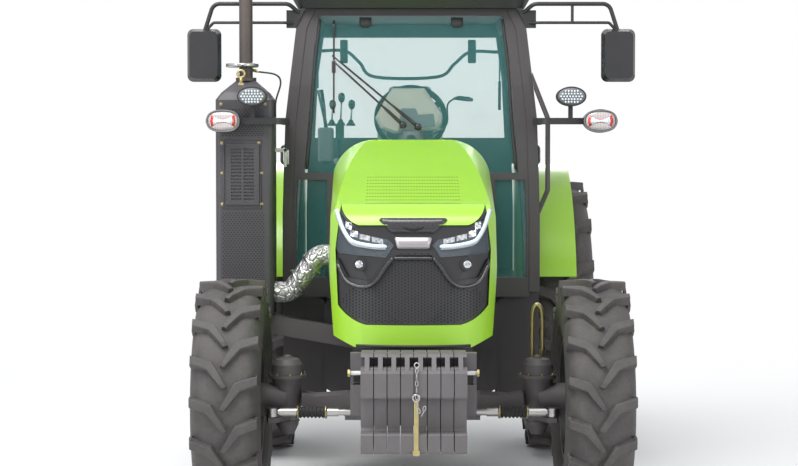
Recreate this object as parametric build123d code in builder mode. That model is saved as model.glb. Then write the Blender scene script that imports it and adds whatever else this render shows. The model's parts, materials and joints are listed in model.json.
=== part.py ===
from build123d import *
from math import cos, radians, sin, sqrt
import os

os.makedirs("parts", exist_ok=True)

# A four-wheel-drive farm tractor with a closed cab. Millimetres, +Z up, floor at Z = 0.
# The tractor faces -Y, so its own left side is +X. X = 0 is the middle of its width.

# ---- driving dimensions -------------------------------------------------------------
front_axle_y = -1325.0       # front wheels' centre
rear_axle_y = 1175.0         # rear wheels' centre
overall_front_y = -2375.0    # front face of the front weights
overall_rear_y = 2375.0      # back of the lower-link eyes
running_gap = 5.0            # least gap between pieces that move past each other
seam = 0.5                   # gap at a butt between curved walls of one body

# front and rear tyres
front_tyre_r = 630.0
front_tyre_width = 350.0
front_rim_r = 305.0
front_half_track = 935.0
rear_tyre_r = 865.0
rear_tyre_width = 380.0
rear_rim_r = 483.0
rear_half_track = 940.0

# front axle
kingpin_x = 652.0
kingpin_housing_r = 73.0
steer_arm_reach = 165.0
steer_arm_splay = 70.0
steer_rod_r = 17.0
axle_beam_z = 630.0

# bonnet
nose_y = -1975.0
bonnet_rear_y = -640.0
bonnet_half_front = 415.0
bonnet_half_rear = 445.0
bonnet_top_front_z = 1561.0
bonnet_top_rear_z = 1987.0
bonnet_bottom_z = 964.0
bonnet_side_bottom_z = 1100.0
bonnet_wall = 10.0
cowl_gap = 12.0
bonnet_pin_y = -645.0
bonnet_pin_z = 1978.0
bonnet_pin_r = 5.0
bonnet_knuckle_r = 9.0
bonnet_hinge_x = 150.0
mask_recess = 8.0
mask_bottom_z = 1075.0
corner_cut = (287.0, 392.0, 1010.0)  # lower front corners: inner X, outer X, height outside
corner_cut_rear_y = -1740.0

# cab
cab_front_y = -325.0
cab_rear_y = 1325.0
cab_floor_z = 1150.0
pillar_wall = 60.0
door_wall = 34.0
b_pillar_y = 560.0
screen_bottom_z = 1800.0
roof_bottom_z = 2740.0
roof_rise = 210.0
roof_top_z = roof_bottom_z + roof_rise
glass_wall = 8.0

# rear fenders
fender_gap = 120.0
fender_r = rear_tyre_r + fender_gap
fender_outer_x = 1000.0
fender_inner_x = 692.0
fender_wall = 10.0


def deg_point(centre, radius, angle):
    """Point on a circle in a (horizontal, vertical) plane, angle in degrees from horizontal."""
    return (centre[0] + radius * cos(radians(angle)), centre[1] + radius * sin(radians(angle)))


def at_x(x):
    """Plane across the tractor at X, drawn as (Y, Z)."""
    return Plane(origin=(x, 0, 0), x_dir=(0, 1, 0), z_dir=(1, 0, 0))


def at_y(y):
    """Plane facing forward at Y, drawn as (X, Z)."""
    return Plane(origin=(0, y, 0), x_dir=(1, 0, 0), z_dir=(0, -1, 0))


def save(piece, label):
    """Label a finished piece and write it."""
    piece.part.label = label
    export_step(piece.part, "parts/" + label + ".step")


# ---- wheels -------------------------------------------------------------------------
front_disc_inset = 20.0
rear_disc_inset = 40.0
# One table row per axle: name, centre Y, tyre radius, tyre width, rim radius, half track,
# lug height, lugs on each side, lug width, disc plane inboard of the tyre's centre, disc bore radius.
wheel_rows = [
    ("front", front_axle_y, front_tyre_r, front_tyre_width, front_rim_r, front_half_track,
     34.0, 18, 46.0, front_disc_inset, 92.0),
    ("rear", rear_axle_y, rear_tyre_r, rear_tyre_width, rear_rim_r, rear_half_track,
     42.0, 17, 58.0, rear_disc_inset, 110.0),
]
shoulder_drop = 112.0        # the tyre is widest this far below the ground between its lugs
crown_share = 0.6            # part of the width over which that ground is level
nose_past = 18.0             # each lug's nose passes the tread's middle by this much
tread_inset = 8.0            # the lugs end this far inside the tyre's width
rim_flange = 22.0
rim_gauge = 9.0
bead_inset = 42.0            # the rim's flanges stand this far inside the tyre's width
disc_gauge = 14.0
# hubs: start along the axle from the disc's inner face, length, radius
front_hub_steps = [(-36, 38, 120), (0, 82, 100)]
rear_hub_steps = [(-243, 60, 150), (-190, 192, 110), (0, 70, 118)]
hub_gap = 2.0
front_hub_x = front_half_track - front_disc_inset + front_hub_steps[0][0] - hub_gap
rear_hub_x = rear_half_track - rear_disc_inset + rear_hub_steps[0][0] - hub_gap


def lug_outline(tread_half, lug_width):
    """One lug seen from outside, drawn as (across, around); its nose is past the middle, low."""
    knee = 0.42 * tread_half
    rise = knee + nose_past
    end = rise + 0.34 * (tread_half - knee)
    half = lug_width / 2
    middle = (end - half) / 2 + half / 2
    outline = [(-nose_past, -half * 0.6), (knee - half * 0.5, rise + half), (tread_half, end + half),
               (tread_half, end - half), (knee + half * 0.5, rise - half), (nose_past * 0.4, -half)]
    return [(across, around - middle) for across, around in outline]


def frustum_faces(centre, rings, sides):
    """Regular polygons square to the X axis, one for each (offset along X, radius)."""
    faces = []
    for along, radius in rings:
        with BuildSketch(Plane(origin=(centre[0] + along, centre[1], centre[2]), x_dir=(0, 0, 1),
                               z_dir=(1, 0, 0))) as ring:
            RegularPolygon(radius, sides)
        faces.append(ring.sketch)
    return faces


def make_tyre(centre, radius, width, rim_r, lug_height, lug_count, lug_width):
    """A left tyre about the X axis through its centre, its lugs reaching out to the radius."""
    half = width / 2
    tread_half = half - tread_inset
    base_r = radius - lug_height
    bead = half - bead_inset
    bead_top = (rim_r + rim_flange + 4) / cos(radians(180 / lug_count))
    widest_r = base_r - shoulder_drop
    outline = lug_outline(tread_half, lug_width)
    reach = max(abs(around) for across, around in outline)
    lug_top = sqrt(radius ** 2 - reach ** 2)
    lug_deep = lug_height + shoulder_drop - 10
    spin = Axis(centre, (1, 0, 0))
    with BuildPart() as tyre:
        loft(frustum_faces(centre, [(-half, widest_r), (-crown_share * half, base_r),
                                    (crown_share * half, base_r), (half, widest_r)], lug_count),
             ruled=True)
        for way in (1, -1):
            loft(frustum_faces(centre, [(way * bead, bead_top), (way * half, widest_r)], lug_count),
                 mode=Mode.SUBTRACT)
        for i in range(2 * lug_count):
            way = 1 if i % 2 == 0 else -1
            turn = radians(i * 180 / lug_count)
            out = (0, -cos(turn), sin(turn))
            face = Plane(origin=tuple(c + lug_top * v for c, v in zip(centre, out)), x_dir=(way, 0, 0),
                         z_dir=out)
            with BuildSketch(face):
                with BuildLine():
                    Polyline([(across, way * around) for across, around in outline], close=True)
                make_face()
            extrude(amount=-lug_deep)
        with BuildSketch(Plane(origin=centre, z_dir=(1, 0, 0))):
            Circle(rim_r)
        extrude(amount=half + 1, both=True, mode=Mode.SUBTRACT)
    return tyre


def make_rim(centre, side, width, rim_r, disc_inset, bore_r, hub_steps):
    """A rim with its drop centre, disc, hand holes and bore; side is +1 on the left."""
    half = width / 2 - bead_inset
    well = rim_r - 40
    axis = Axis(centre, (side, 0, 0))
    profile_plane = Plane(origin=centre, x_dir=(side, 0, 0), z_dir=(0, -side, 0))
    disc_at = -disc_inset
    with BuildPart() as rim:
        with BuildSketch(profile_plane):
            with BuildLine():
                Polyline(
                    (-half - rim_gauge, rim_r + rim_flange), (-half, rim_r + rim_flange),
                    (-half, rim_r), (-half + 55, rim_r), (-half + 85, well), (half - 85, well),
                    (half - 55, rim_r), (half, rim_r), (half, rim_r + rim_flange),
                    (half + rim_gauge, rim_r + rim_flange), (half + rim_gauge, rim_r - rim_gauge),
                    (half - 50, rim_r - rim_gauge), (half - 80, well - rim_gauge),
                    (-half + 80, well - rim_gauge), (-half + 50, rim_r - rim_gauge),
                    (-half - rim_gauge, rim_r - rim_gauge), close=True)
            make_face()
        revolve(axis=axis)
        with BuildSketch(profile_plane):
            with BuildLine():
                Polyline(
                    (disc_at, bore_r), (disc_at, 0.62 * well), (disc_at + 45, 0.78 * well),
                    (disc_at + 45, well - rim_gauge / 2), (disc_at + 45 + disc_gauge, well - rim_gauge / 2),
                    (disc_at + 45 + disc_gauge, 0.77 * well), (disc_at + disc_gauge, 0.60 * well),
                    (disc_at + disc_gauge, bore_r), close=True)
            make_face()
        revolve(axis=axis)
        for start, length, radius in hub_steps:
            with BuildSketch(Plane(origin=centre, z_dir=(side, 0, 0)).offset(disc_at + start)):
                Circle(radius)
            extrude(amount=length)
    return rim


for end, axle_y, tyre_r, width, rim_r, half_track, lug_h, lugs, lug_w, inset, bore in wheel_rows:
    hub_steps = front_hub_steps if end == "front" else rear_hub_steps
    left_tyre = make_tyre((half_track, axle_y, tyre_r), tyre_r, width, rim_r, lug_h, lugs, lug_w)
    for side, word in ((1, "left"), (-1, "right")):
        with BuildPart() as tyre:
            add(left_tyre.part if side == 1 else left_tyre.part.mirror(Plane.YZ))
        save(tyre, f"{end}_tyre_{word}")
        rim = make_rim((side * half_track, axle_y, tyre_r), side, width, rim_r, inset, bore, hub_steps)
        save(rim, f"{end}_rim_{word}")


# ---- frame, engine and transmission ---------------------------------------------------
support_half = 165.0
support_top_z = 905.0
engine_half = 265.0
engine_front_y = -1480.0
engine_rear_y = -660.0
engine_top_z = 1480.0
engine_bottom_z = 765.0
axle_boss_r = 115.0
axle_boss_half = 120.0
housing_half = 220.0
housing_top_z = 1090.0
trumpet_r = 135.0
pto_z = 700.0
link_pivot = (1300.0, 500.0)
link_pin_r = 18.0
arm_pivot = (1450.0, 1040.0)
rockshaft_r = 40.0
pto_face_y = 1415.0
pto_shaft_r = 17.4
pto_bearing_r = 28.0
pto_fit = 0.05
pto_length = 90.0

with BuildPart() as front_support:
    with BuildSketch(at_x(0)):
        with BuildLine():
            Polyline((-1960, 720), (-1960, 900), (-1700, support_top_z), (engine_front_y, support_top_z),
                     (engine_front_y, engine_bottom_z), (engine_front_y + 300, engine_bottom_z),
                     (engine_front_y + 300, 750), (front_axle_y - 190, 750), (-1620, 700), (-1900, 640),
                     close=True)
        make_face()
    extrude(amount=support_half, both=True)
    for way in (1, -1):
        with Locations((0, front_axle_y + way * (axle_boss_half + 15), 695)):
            Box(130, 30, 110)
save(front_support, "front_support")

with BuildPart() as engine_block:
    with BuildSketch(at_x(0)):
        with BuildLine():
            Polyline((engine_front_y, engine_bottom_z), (engine_front_y, engine_top_z - 60),
                     (engine_front_y + 60, engine_top_z), (engine_rear_y - 40, engine_top_z),
                     (engine_rear_y, engine_top_z - 60), (engine_rear_y, 640),
                     (engine_front_y + 330, 640), (engine_front_y + 330, engine_bottom_z), close=True)
        make_face()
    extrude(amount=engine_half, both=True)
    chamfer(engine_block.edges().filter_by(Axis.Y).group_by(Axis.Z)[-1], 50)
save(engine_block, "engine_block")

radiator_y = -1700.0
radiator_depth = 110.0
with BuildPart() as radiator:
    with BuildSketch(at_y(radiator_y)):
        with BuildLine():
            Polyline((-300, support_top_z), (300, support_top_z), (300, 1440), (250, 1490), (-250, 1490),
                     (-300, 1440), close=True)
        make_face()
    extrude(amount=-radiator_depth)
save(radiator, "radiator")

with BuildPart() as gearbox:
    with BuildSketch(at_x(0)):
        with BuildLine():
            Polyline((engine_rear_y, 640), (engine_rear_y, 1090), (-300, 1090), (cab_rear_y - 60, 1090),
                     (cab_rear_y + 75, 1000), (cab_rear_y + 75, 560), (-300, 560), close=True)
        make_face()
    extrude(amount=housing_half, both=True)
    for side in (1, -1):
        start = Plane(origin=(side * housing_half, rear_axle_y, rear_tyre_r), z_dir=(side, 0, 0))
        with BuildSketch(start):
            Rectangle(420, 400)
        with BuildSketch(start.offset(70)):
            Rectangle(2 * trumpet_r, 2 * trumpet_r)
        loft()
        with BuildSketch(start.offset(70)):
            Circle(trumpet_r)
        extrude(amount=rear_hub_x - housing_half - 70)
    for side in (1, -1):
        with Locations((side * (housing_half + 30), link_pivot[0], 580)):
            Box(70, 120, 220)
        with Locations((side * (housing_half + 90), link_pivot[0], link_pivot[1])):
            Cylinder(link_pin_r, 120, rotation=(0, 90, 0))
        with Locations((side * 150, arm_pivot[0] - 15, arm_pivot[1] - 20)):
            Box(80, 150, 150)
    with Locations((0, arm_pivot[0], arm_pivot[1])):
        Cylinder(rockshaft_r + 0.1, 2 * housing_half, rotation=(0, 90, 0), mode=Mode.SUBTRACT)
    with Locations((0, pto_face_y - 15, pto_z)):
        Cylinder(60, 60, rotation=(90, 0, 0))
        Cylinder(pto_bearing_r + pto_fit, 90, rotation=(90, 0, 0), mode=Mode.SUBTRACT)
save(gearbox, "transmission_housing")

with BuildPart() as pto:
    with BuildSketch(Plane(origin=(0, pto_face_y - 55, pto_z), x_dir=(1, 0, 0), z_dir=(0, 1, 0))):
        Circle(pto_bearing_r)
    extrude(amount=85)
    with BuildSketch(Plane(origin=(0, pto_face_y + 30, pto_z), x_dir=(1, 0, 0), z_dir=(0, 1, 0))):
        Circle(pto_shaft_r)
    extrude(amount=pto_length)
    chamfer(pto.faces().sort_by(Axis.Y)[-1].edges(), 3)
save(pto, "pto_shaft")

# ---- front axle ------------------------------------------------------------------------
kingpin_end_x = kingpin_x - kingpin_housing_r - 6
with BuildPart() as front_axle:
    with BuildSketch(at_y(front_axle_y)):
        with BuildLine():
            half_beam = [(150, 740), (230, 720), (330, 668), (500, 655), (kingpin_end_x, 668),
                         (kingpin_end_x, 590), (500, 600), (330, 548), (230, 520), (120, 505)]
            Polyline(half_beam + [(-x, z) for x, z in reversed(half_beam)], close=True)
        make_face()
    extrude(amount=85, both=True)
    with Locations((0, front_axle_y, axle_beam_z)):
        Cylinder(axle_boss_r, 2 * axle_boss_half, rotation=(90, 0, 0))
    for side in (1, -1):
        with Locations((side * 290, front_axle_y - 92, 610)):
            Box(120, 20, 150)
save(front_axle, "front_axle_beam")

steer_rod_y = front_axle_y - steer_arm_reach
steer_rod_z = 585.0
steer_barrel_half = 250.0
steer_barrel_r = 38.0
steer_fit = 0.05
steer_end_x = kingpin_x + steer_arm_splay
with BuildPart() as steer_cylinder:
    with Locations((0, steer_rod_y, steer_rod_z)):
        Cylinder(steer_barrel_r, 2 * steer_barrel_half, rotation=(0, 90, 0))
    for side in (1, -1):
        with Locations((side * (steer_barrel_half - 20), steer_rod_y + 28, steer_rod_z + 22)):
            Box(64, 70, 104)
        with Locations((side * (steer_barrel_half - 16), steer_rod_y, steer_rod_z)):
            Cylinder(steer_barrel_r + 8, 32, rotation=(0, 90, 0))
    with Locations((0, steer_rod_y, steer_rod_z)):
        Cylinder(steer_rod_r + steer_fit, 2 * steer_barrel_half + 60, rotation=(0, 90, 0), mode=Mode.SUBTRACT)
save(steer_cylinder, "steering_cylinder")

steer_ball_r = 34.0
sleeve_start_x = 380.0
sleeve_r = 22.0
with BuildPart() as steer_rod:
    with Locations((0, steer_rod_y, steer_rod_z)):
        Cylinder(steer_rod_r, 2 * steer_end_x - 20, rotation=(0, 90, 0))
    for side in (1, -1):
        sleeve = steer_end_x - 40 - sleeve_start_x
        with Locations((side * (sleeve_start_x + sleeve / 2), steer_rod_y, steer_rod_z)):
            Cylinder(sleeve_r, sleeve, rotation=(0, 90, 0))
        with Locations((side * steer_end_x, steer_rod_y, steer_rod_z)):
            Cylinder(steer_ball_r, 44)
save(steer_rod, "steering_rod")

# Each knuckle's housing as rings: height, radius; rings at the same height make a step.
knuckle_rings = [(450, 34), (500, 58), (560, 62), (600, 66), (700, 76), (745, 84), (745, 98), (762, 98),
                 (762, 84), (815, 80), (842, 62), (850, 30)]
knuckle_axle_r = 86.0
steer_arm_wall = 26.0
for side, word in ((1, "left"), (-1, "right")):
    kingpin = (side * kingpin_x, front_axle_y)
    with BuildPart() as knuckle:
        with BuildSketch(Plane(origin=(*kingpin, 0), x_dir=(1, 0, 0), z_dir=(0, -1, 0))):
            with BuildLine():
                Polyline([(0, knuckle_rings[0][0])] + [(r, z) for z, r in knuckle_rings]
                         + [(0, knuckle_rings[-1][0])], close=True)
            make_face()
        revolve(axis=Axis((*kingpin, 0), (0, 0, 1)))
        with BuildSketch(Plane(origin=(*kingpin, front_tyre_r), z_dir=(side, 0, 0))):
            Circle(knuckle_axle_r)
        extrude(amount=front_hub_x - kingpin_x)
        with BuildSketch(Plane.XY.offset(steer_rod_z - 22 - running_gap)):
            with BuildLine():
                Polyline((side * (kingpin_x - 50), front_axle_y), (side * (kingpin_x + 50), front_axle_y),
                         (side * (steer_end_x + 28), steer_rod_y + 10),
                         (side * (steer_end_x + 18), steer_rod_y - 30),
                         (side * (steer_end_x - 26), steer_rod_y - 30), close=True)
            make_face()
        extrude(amount=-steer_arm_wall)
    save(knuckle, f"front_knuckle_{word}")

# ---- front weights -----------------------------------------------------------------------
weight_count = 8
weight_pitch = 63.0
weight_gauge = 59.0
weight_bottom_z = 506.0
weight_top_z = 967.0
weight_rear_y = -2085.0
weight_back_step = 60.0       # depth of the hook that hangs on the carrier's bar
handle_wall = 22.0           # what is left between the hand recesses of one weight
with BuildPart() as weight:
    with BuildSketch(at_x(-weight_pitch * (weight_count - 1) / 2)):
        with BuildLine():
            f = overall_front_y
            Polyline((f + 8, weight_bottom_z), (f, weight_bottom_z + 12), (f, weight_bottom_z + 88),
                     (f + 8, weight_bottom_z + 96), (f + 70, weight_bottom_z + 100), (f + 84, 620),
                     (f + 84, 750), (f + 70, 768), (f + 6, 768), (f, 775), (f, 885), (f + 8, 896),
                     (f + 96, weight_top_z), (weight_rear_y, weight_top_z), (weight_rear_y, 850),
                     (weight_rear_y - weight_back_step, 850), (weight_rear_y - weight_back_step, 690),
                     (weight_rear_y, 690), (weight_rear_y, weight_bottom_z + 40),
                     (weight_rear_y - 40, weight_bottom_z), close=True)
        make_face()
    extrude(amount=weight_gauge / 2, both=True)
    for side in (1, -1):
        pocket_x = -weight_pitch * (weight_count - 1) / 2 + side * weight_gauge / 2
        with BuildSketch(at_x(pocket_x)):
            with BuildLine():
                Polyline((f - 10, 890), (f + 34, 905), (f + 90, 950), (f + 20, 980), (f - 10, 960), close=True)
            make_face()
            with BuildLine():
                Polyline((f + 30, 909), (f + 80, 948), (f + 128, 948), (f + 128, 909), close=True)
            make_face()
        extrude(amount=-side * (weight_gauge - handle_wall) / 2, mode=Mode.SUBTRACT)
with BuildPart() as front_weights:
    with Locations(*[(i * weight_pitch, 0, 0) for i in range(weight_count)]):
        add(weight.part)
save(front_weights, "front_weights")

carrier_half = 305.0
carrier_ear = 74.0
with BuildPart() as carrier:
    with BuildSketch(at_x(0)):
        with BuildLine():
            Polyline((weight_rear_y - weight_back_step + 2, 692), (weight_rear_y - weight_back_step + 2, 848),
                     (weight_rear_y + 4, 848), (weight_rear_y + 4, 930), (-1962, 900), (-1962, 640),
                     (weight_rear_y + 4, 600), (weight_rear_y + 4, 692), close=True)
        make_face()
    extrude(amount=support_half + 90, both=True)
    with Locations((0, -2040, 905)):
        Box(2 * carrier_half, 60, 90)
    for side in (1, -1):
        with Locations((side * (carrier_half - carrier_ear / 2), -2030, 722)):
            Box(carrier_ear, 100, 150)
        with Locations((side * (carrier_half - 8), -2040, 830)):
            Box(16, 60, 120)
save(carrier, "weight_carrier")


# ---- bonnet ------------------------------------------------------------------------------
def bonnet_form(inset):
    """The bonnet's outer form, set in by a wall; front view x side view x plan view."""
    top = bonnet_top_rear_z - inset
    with BuildPart() as form:
        # columns: Y, half width low, widest, at the shoulder, on top; heights of those points
        stations = [
            (bonnet_rear_y, bonnet_half_rear - 12, bonnet_half_rear, bonnet_half_rear - 14, 217,
             1500, 1815, 1915, top),
            (nose_y, bonnet_half_front - 35, bonnet_half_front, bonnet_half_front - 8, 240,
             1310, 1560, 1660, 1718 - inset),
        ]
        for y, low, wide, shoulder, flat, z_wide, z_shoulder, z_turn, z_top in stations:
            with BuildSketch(at_y(y)):
                with BuildLine():
                    a, b, c = low - inset, wide - inset, shoulder - inset
                    Polyline((flat, z_top), (-flat, z_top))
                    for s in (1, -1):
                        Polyline((s * a, 900), (s * b, z_wide), (s * c, z_shoulder))
                        ThreePointArc((s * c, z_shoulder), (s * (c - 58), z_turn - inset), (s * flat, z_top))
                    Line((a, 900), (-a, 900))
                make_face()
        loft(ruled=True)
        with BuildSketch(at_x(0)):
            with BuildLine():
                n = nose_y + inset
                low = 100 if inset else 0
                nose_low = bonnet_bottom_z - low
                back = bonnet_rear_y + (50 if inset else 0)
                slope = (bonnet_top_rear_z - 1672) / (bonnet_rear_y + 1740)
                back_top = (back, top + slope * (back - bonnet_rear_y))
                Polyline((n, mask_bottom_z), (n, nose_low), (-1790, nose_low),
                         (-1700, bonnet_side_bottom_z - low),
                         (back, bonnet_side_bottom_z - low), back_top, (-1740, 1672 - inset))
                ThreePointArc((-1740, 1672 - inset), (-1845 + inset / 2, 1633 - inset),
                              (-1905 + inset, bonnet_top_front_z - inset / 2))
                Line((-1905 + inset, bonnet_top_front_z - inset / 2), (n, mask_bottom_z))
            make_face()
        extrude(amount=700, both=True, mode=Mode.INTERSECT)
        with BuildSketch(Plane.XY.offset(700)):
            with BuildLine():
                half = bonnet_half_front + 60
                Polyline((-half, -1650), (-half, 0), (half, 0), (half, -1650),
                         (bonnet_half_front + 6 - inset, -1700))
                ThreePointArc((bonnet_half_front + 6 - inset, -1700), (365 - inset, -1850 + inset / 2),
                              (255 - inset / 2, -1935 + inset))
                ThreePointArc((255 - inset / 2, -1935 + inset), (0, nose_y + inset),
                              (-255 + inset / 2, -1935 + inset))
                ThreePointArc((-255 + inset / 2, -1935 + inset), (-365 + inset, -1850 + inset / 2),
                              (-bonnet_half_front - 6 + inset, -1700))
                Line((-bonnet_half_front - 6 + inset, -1700), (-half, -1650))
            make_face()
        extrude(amount=1500, mode=Mode.INTERSECT)
    return form.part


def mirrored(points):
    """Half an outline, given from the middle line round, with its mirror image added."""
    return points + [(-x, z) for x, z in reversed(points)]


def shrunk(points, gap):
    """A face whose closed outline is moved inwards by a gap."""
    with BuildSketch() as flat:
        with BuildLine():
            Polyline(points, close=True)
        make_face()
        offset(amount=-gap, kind=Kind.INTERSECTION, mode=Mode.REPLACE)
    return flat.sketch


mask_seam = 0.8
mask_rim = 10.0              # the mask's ridges stand this far off its face
# right half of each front opening as (X, Z); the mask's outline has three arcs for corners
mask_foot = (231, mask_bottom_z)
mask_corner = [(325, 1119), (372, 1166)]
mask_side = (385, 1439)
mask_tip = (356, 1667)
mask_brow = [(324, 1597), (268, 1562)]
lamp_outline = [(374, 1618), (380, 1440), (366, 1424), (134, 1404), (95, 1464), (122, 1492), (285, 1526),
                (330, 1556), (362, 1622)]
ridge_outline = [(0, 1440), (101, 1440), (205, 1290), (320, 1305), (372, 1395), (380, 1378), (330, 1282),
                 (196, 1262), (88, 1416), (0, 1416)]
fog_x = 265.0
fog_z = 1372.0
fog_r = 33.0
fog_lens_r = 26.0


def mask_face(gap):
    """The mask's outline moved inwards by a gap."""
    with BuildSketch() as flat:
        with BuildLine():
            for s in (1, -1):
                foot, corner_a, corner_b = [(s * x, z) for x, z in (mask_foot, *mask_corner)]
                brow_a, brow_b = [(s * x, z) for x, z in mask_brow]
                ThreePointArc(foot, corner_a, corner_b)
                Polyline(corner_b, (s * mask_side[0], mask_side[1]), (s * mask_tip[0], mask_tip[1]))
                ThreePointArc((s * mask_tip[0], mask_tip[1]), brow_a, brow_b)
            Line(mask_foot, (-mask_foot[0], mask_foot[1]))
            Line(mask_brow[1], (-mask_brow[1][0], mask_brow[1][1]))
        make_face()
        if gap:
            offset(amount=-gap, kind=Kind.INTERSECTION, mode=Mode.REPLACE)
    return flat.sketch


def both_sides(points):
    """Faces inside a closed outline and its mirror image, kept within the mask."""
    with BuildSketch() as flat:
        for s in (1, -1):
            with BuildLine():
                Polyline([(s * x, z) for x, z in points], close=True)
            make_face()
        add(mask_face(mask_seam), mode=Mode.INTERSECT)
    return flat.sketch


mask_plane_y = -1600.0
mask_reach = 500.0
with BuildPart() as bonnet:
    add(bonnet_form(0))
    add(bonnet_form(bonnet_wall), mode=Mode.SUBTRACT)
    with BuildSketch(at_y(mask_plane_y)):
        add(mask_face(0))
    extrude(amount=mask_reach, mode=Mode.SUBTRACT)
    with BuildSketch(at_y(corner_cut_rear_y)):
        for s in (1, -1):
            with BuildLine():
                Polyline((s * corner_cut[0], bonnet_bottom_z), (s * corner_cut[1], corner_cut[2]),
                         (s * (corner_cut[1] + 90), corner_cut[2] + 2),
                         (s * (corner_cut[1] + 90), bonnet_bottom_z - 90),
                         (s * corner_cut[0], bonnet_bottom_z - 90), close=True)
            make_face()
    extrude(amount=mask_reach, mode=Mode.SUBTRACT)
    for side in (1, -1):
        with Locations((side * (bonnet_hinge_x + 31), bonnet_pin_y + 5, bonnet_pin_z)):
            Box(30, 36, 44, mode=Mode.SUBTRACT)
        with Locations((side * (bonnet_hinge_x - 7), bonnet_pin_y, bonnet_pin_z)):
            Cylinder(bonnet_knuckle_r, 44, rotation=(0, 90, 0))
            Cylinder(bonnet_pin_r + 0.05, 46, rotation=(0, 90, 0), mode=Mode.SUBTRACT)
save(bonnet, "bonnet_shell")

with BuildPart() as mask:
    add(bonnet_form(mask_recess))
    add(bonnet_form(mask_recess + 14), mode=Mode.SUBTRACT)
    with BuildSketch(at_y(mask_plane_y)):
        add(mask_face(mask_seam))
    extrude(amount=mask_reach, mode=Mode.INTERSECT)
    with BuildSketch(at_y(mask_plane_y)):
        add(both_sides(lamp_outline))
    extrude(amount=mask_reach, mode=Mode.SUBTRACT)
# the ridges over the mesh, in the band between the bonnet's outer form and the mask's face
with BuildPart() as ridges:
    add(bonnet_form(mask_recess - mask_rim))
    add(bonnet_form(mask_recess + 4), mode=Mode.SUBTRACT)
    with BuildSketch(at_y(mask_plane_y)):
        add(both_sides(ridge_outline))
    extrude(amount=mask_reach, mode=Mode.INTERSECT)
with BuildPart() as grille_mask:
    add(mask.part)
    add(ridges.part)
    for side in (1, -1):
        with Locations((side * fog_x, -1900, fog_z)):
            Cylinder(fog_r, 90, rotation=(90, 0, 0))
            Cylinder(fog_lens_r, 92, rotation=(90, 0, 0), mode=Mode.SUBTRACT)
        with Locations((side * fog_x, -1896, fog_z)):
            Cylinder(fog_lens_r + 1, 76, rotation=(90, 0, 0))
save(grille_mask, "grille_mask")

with BuildPart() as headlamps:
    add(bonnet_form(mask_recess - 4))
    add(bonnet_form(mask_recess + 22), mode=Mode.SUBTRACT)
    with BuildSketch(at_y(mask_plane_y)):
        add(both_sides(lamp_outline))
    extrude(amount=mask_reach, mode=Mode.INTERSECT)
save(headlamps, "headlamps")

# fixed cowl between the bonnet and the cab
with BuildPart() as cowl:
    for inset, mode in ((0, Mode.ADD), (bonnet_wall, Mode.SUBTRACT)):
        with BuildSketch(at_y(bonnet_rear_y + cowl_gap)):
            with BuildLine():
                a, c = bonnet_half_rear - inset, bonnet_half_rear - 14 - inset
                z_top = bonnet_top_rear_z - inset
                Line((217, z_top), (-217, z_top))
                for s in (1, -1):
                    Polyline((s * a, 1095 - inset), (s * a, 1500), (s * c, 1815))
                    ThreePointArc((s * c, 1815), (s * (c - 58), 1915 - inset), (s * 217, z_top))
                Line((a, 1095 - inset), (-a, 1095 - inset))
            make_face()
        extrude(amount=-(cab_front_y - bonnet_rear_y - cowl_gap - seam), mode=mode)
    for side in (1, -1):
        with Locations((side * (bonnet_hinge_x + 29), bonnet_pin_y, bonnet_pin_z)):
            Cylinder(bonnet_knuckle_r, 16, rotation=(0, 90, 0))
        with Locations((side * (bonnet_hinge_x + 29), bonnet_pin_y + 13, bonnet_pin_z - 1)):
            Box(16, 26, 12)
        with Locations((side * bonnet_hinge_x, bonnet_pin_y, bonnet_pin_z)):
            Cylinder(bonnet_pin_r, 44, rotation=(0, 90, 0))
save(cowl, "engine_cowl")

# ---- cab -----------------------------------------------------------------------------------
# columns: half width, height of the cab's side wall, seen from the front
cab_side = [(736, 1090), (736, 1560), (720, 2100), (660, 2627), (606, roof_bottom_z)]
# columns: Y, height of the cab's front wall, seen from the side
cab_front = [(cab_front_y, 1090), (cab_front_y, 1800), (-296, 2300), (-240, roof_bottom_z)]
cab_back = [(cab_rear_y, 1090), (cab_rear_y, 1900), (cab_rear_y - 25, 2400), (cab_rear_y - 70, roof_bottom_z)]


def side_band(side, outer, inner):
    """Closed outline of the curved side wall between two depths below its outer face."""
    return [(side * (x - outer), z) for x, z in cab_side] + \
           [(side * (x - inner), z) for x, z in reversed(cab_side)]


def end_band(line, way, outer, inner):
    """Closed outline of the front wall (way = 1) or the rear wall (way = -1), in (Y, Z)."""
    return [(y + way * outer, z) for y, z in line] + [(y + way * inner, z) for y, z in reversed(line)]


sill_top_z = 1195.0
header_z = roof_bottom_z - 78
quarter_low_z = rear_tyre_r + fender_r + 80
a_pillar = 52.0             # width of the front pillar in the side view
b_pillar = 64.0
axle_point = (rear_axle_y, rear_tyre_r)
fender_front_deg = 162.0
fender_rear_deg = 28.0
arch_r = fender_r + seam
arch_rear = (cab_rear_y, rear_tyre_r + sqrt(arch_r ** 2 - (cab_rear_y - rear_axle_y) ** 2))
arch_front = deg_point(axle_point, arch_r, fender_front_deg)
door_gap = 7.0
door_rail = 42.0
hinge_knuckle_r = 11.0
hinge_pin_r = 6.0
hinge_places = [(749.0, 531.0, 1900.0), (698.0, 555.0, 2500.0)]
hinge_span = [b - a for a, b in zip(*hinge_places)]
hinge_lean = [d / sqrt(sum(v * v for v in hinge_span)) for d in hinge_span]
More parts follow.
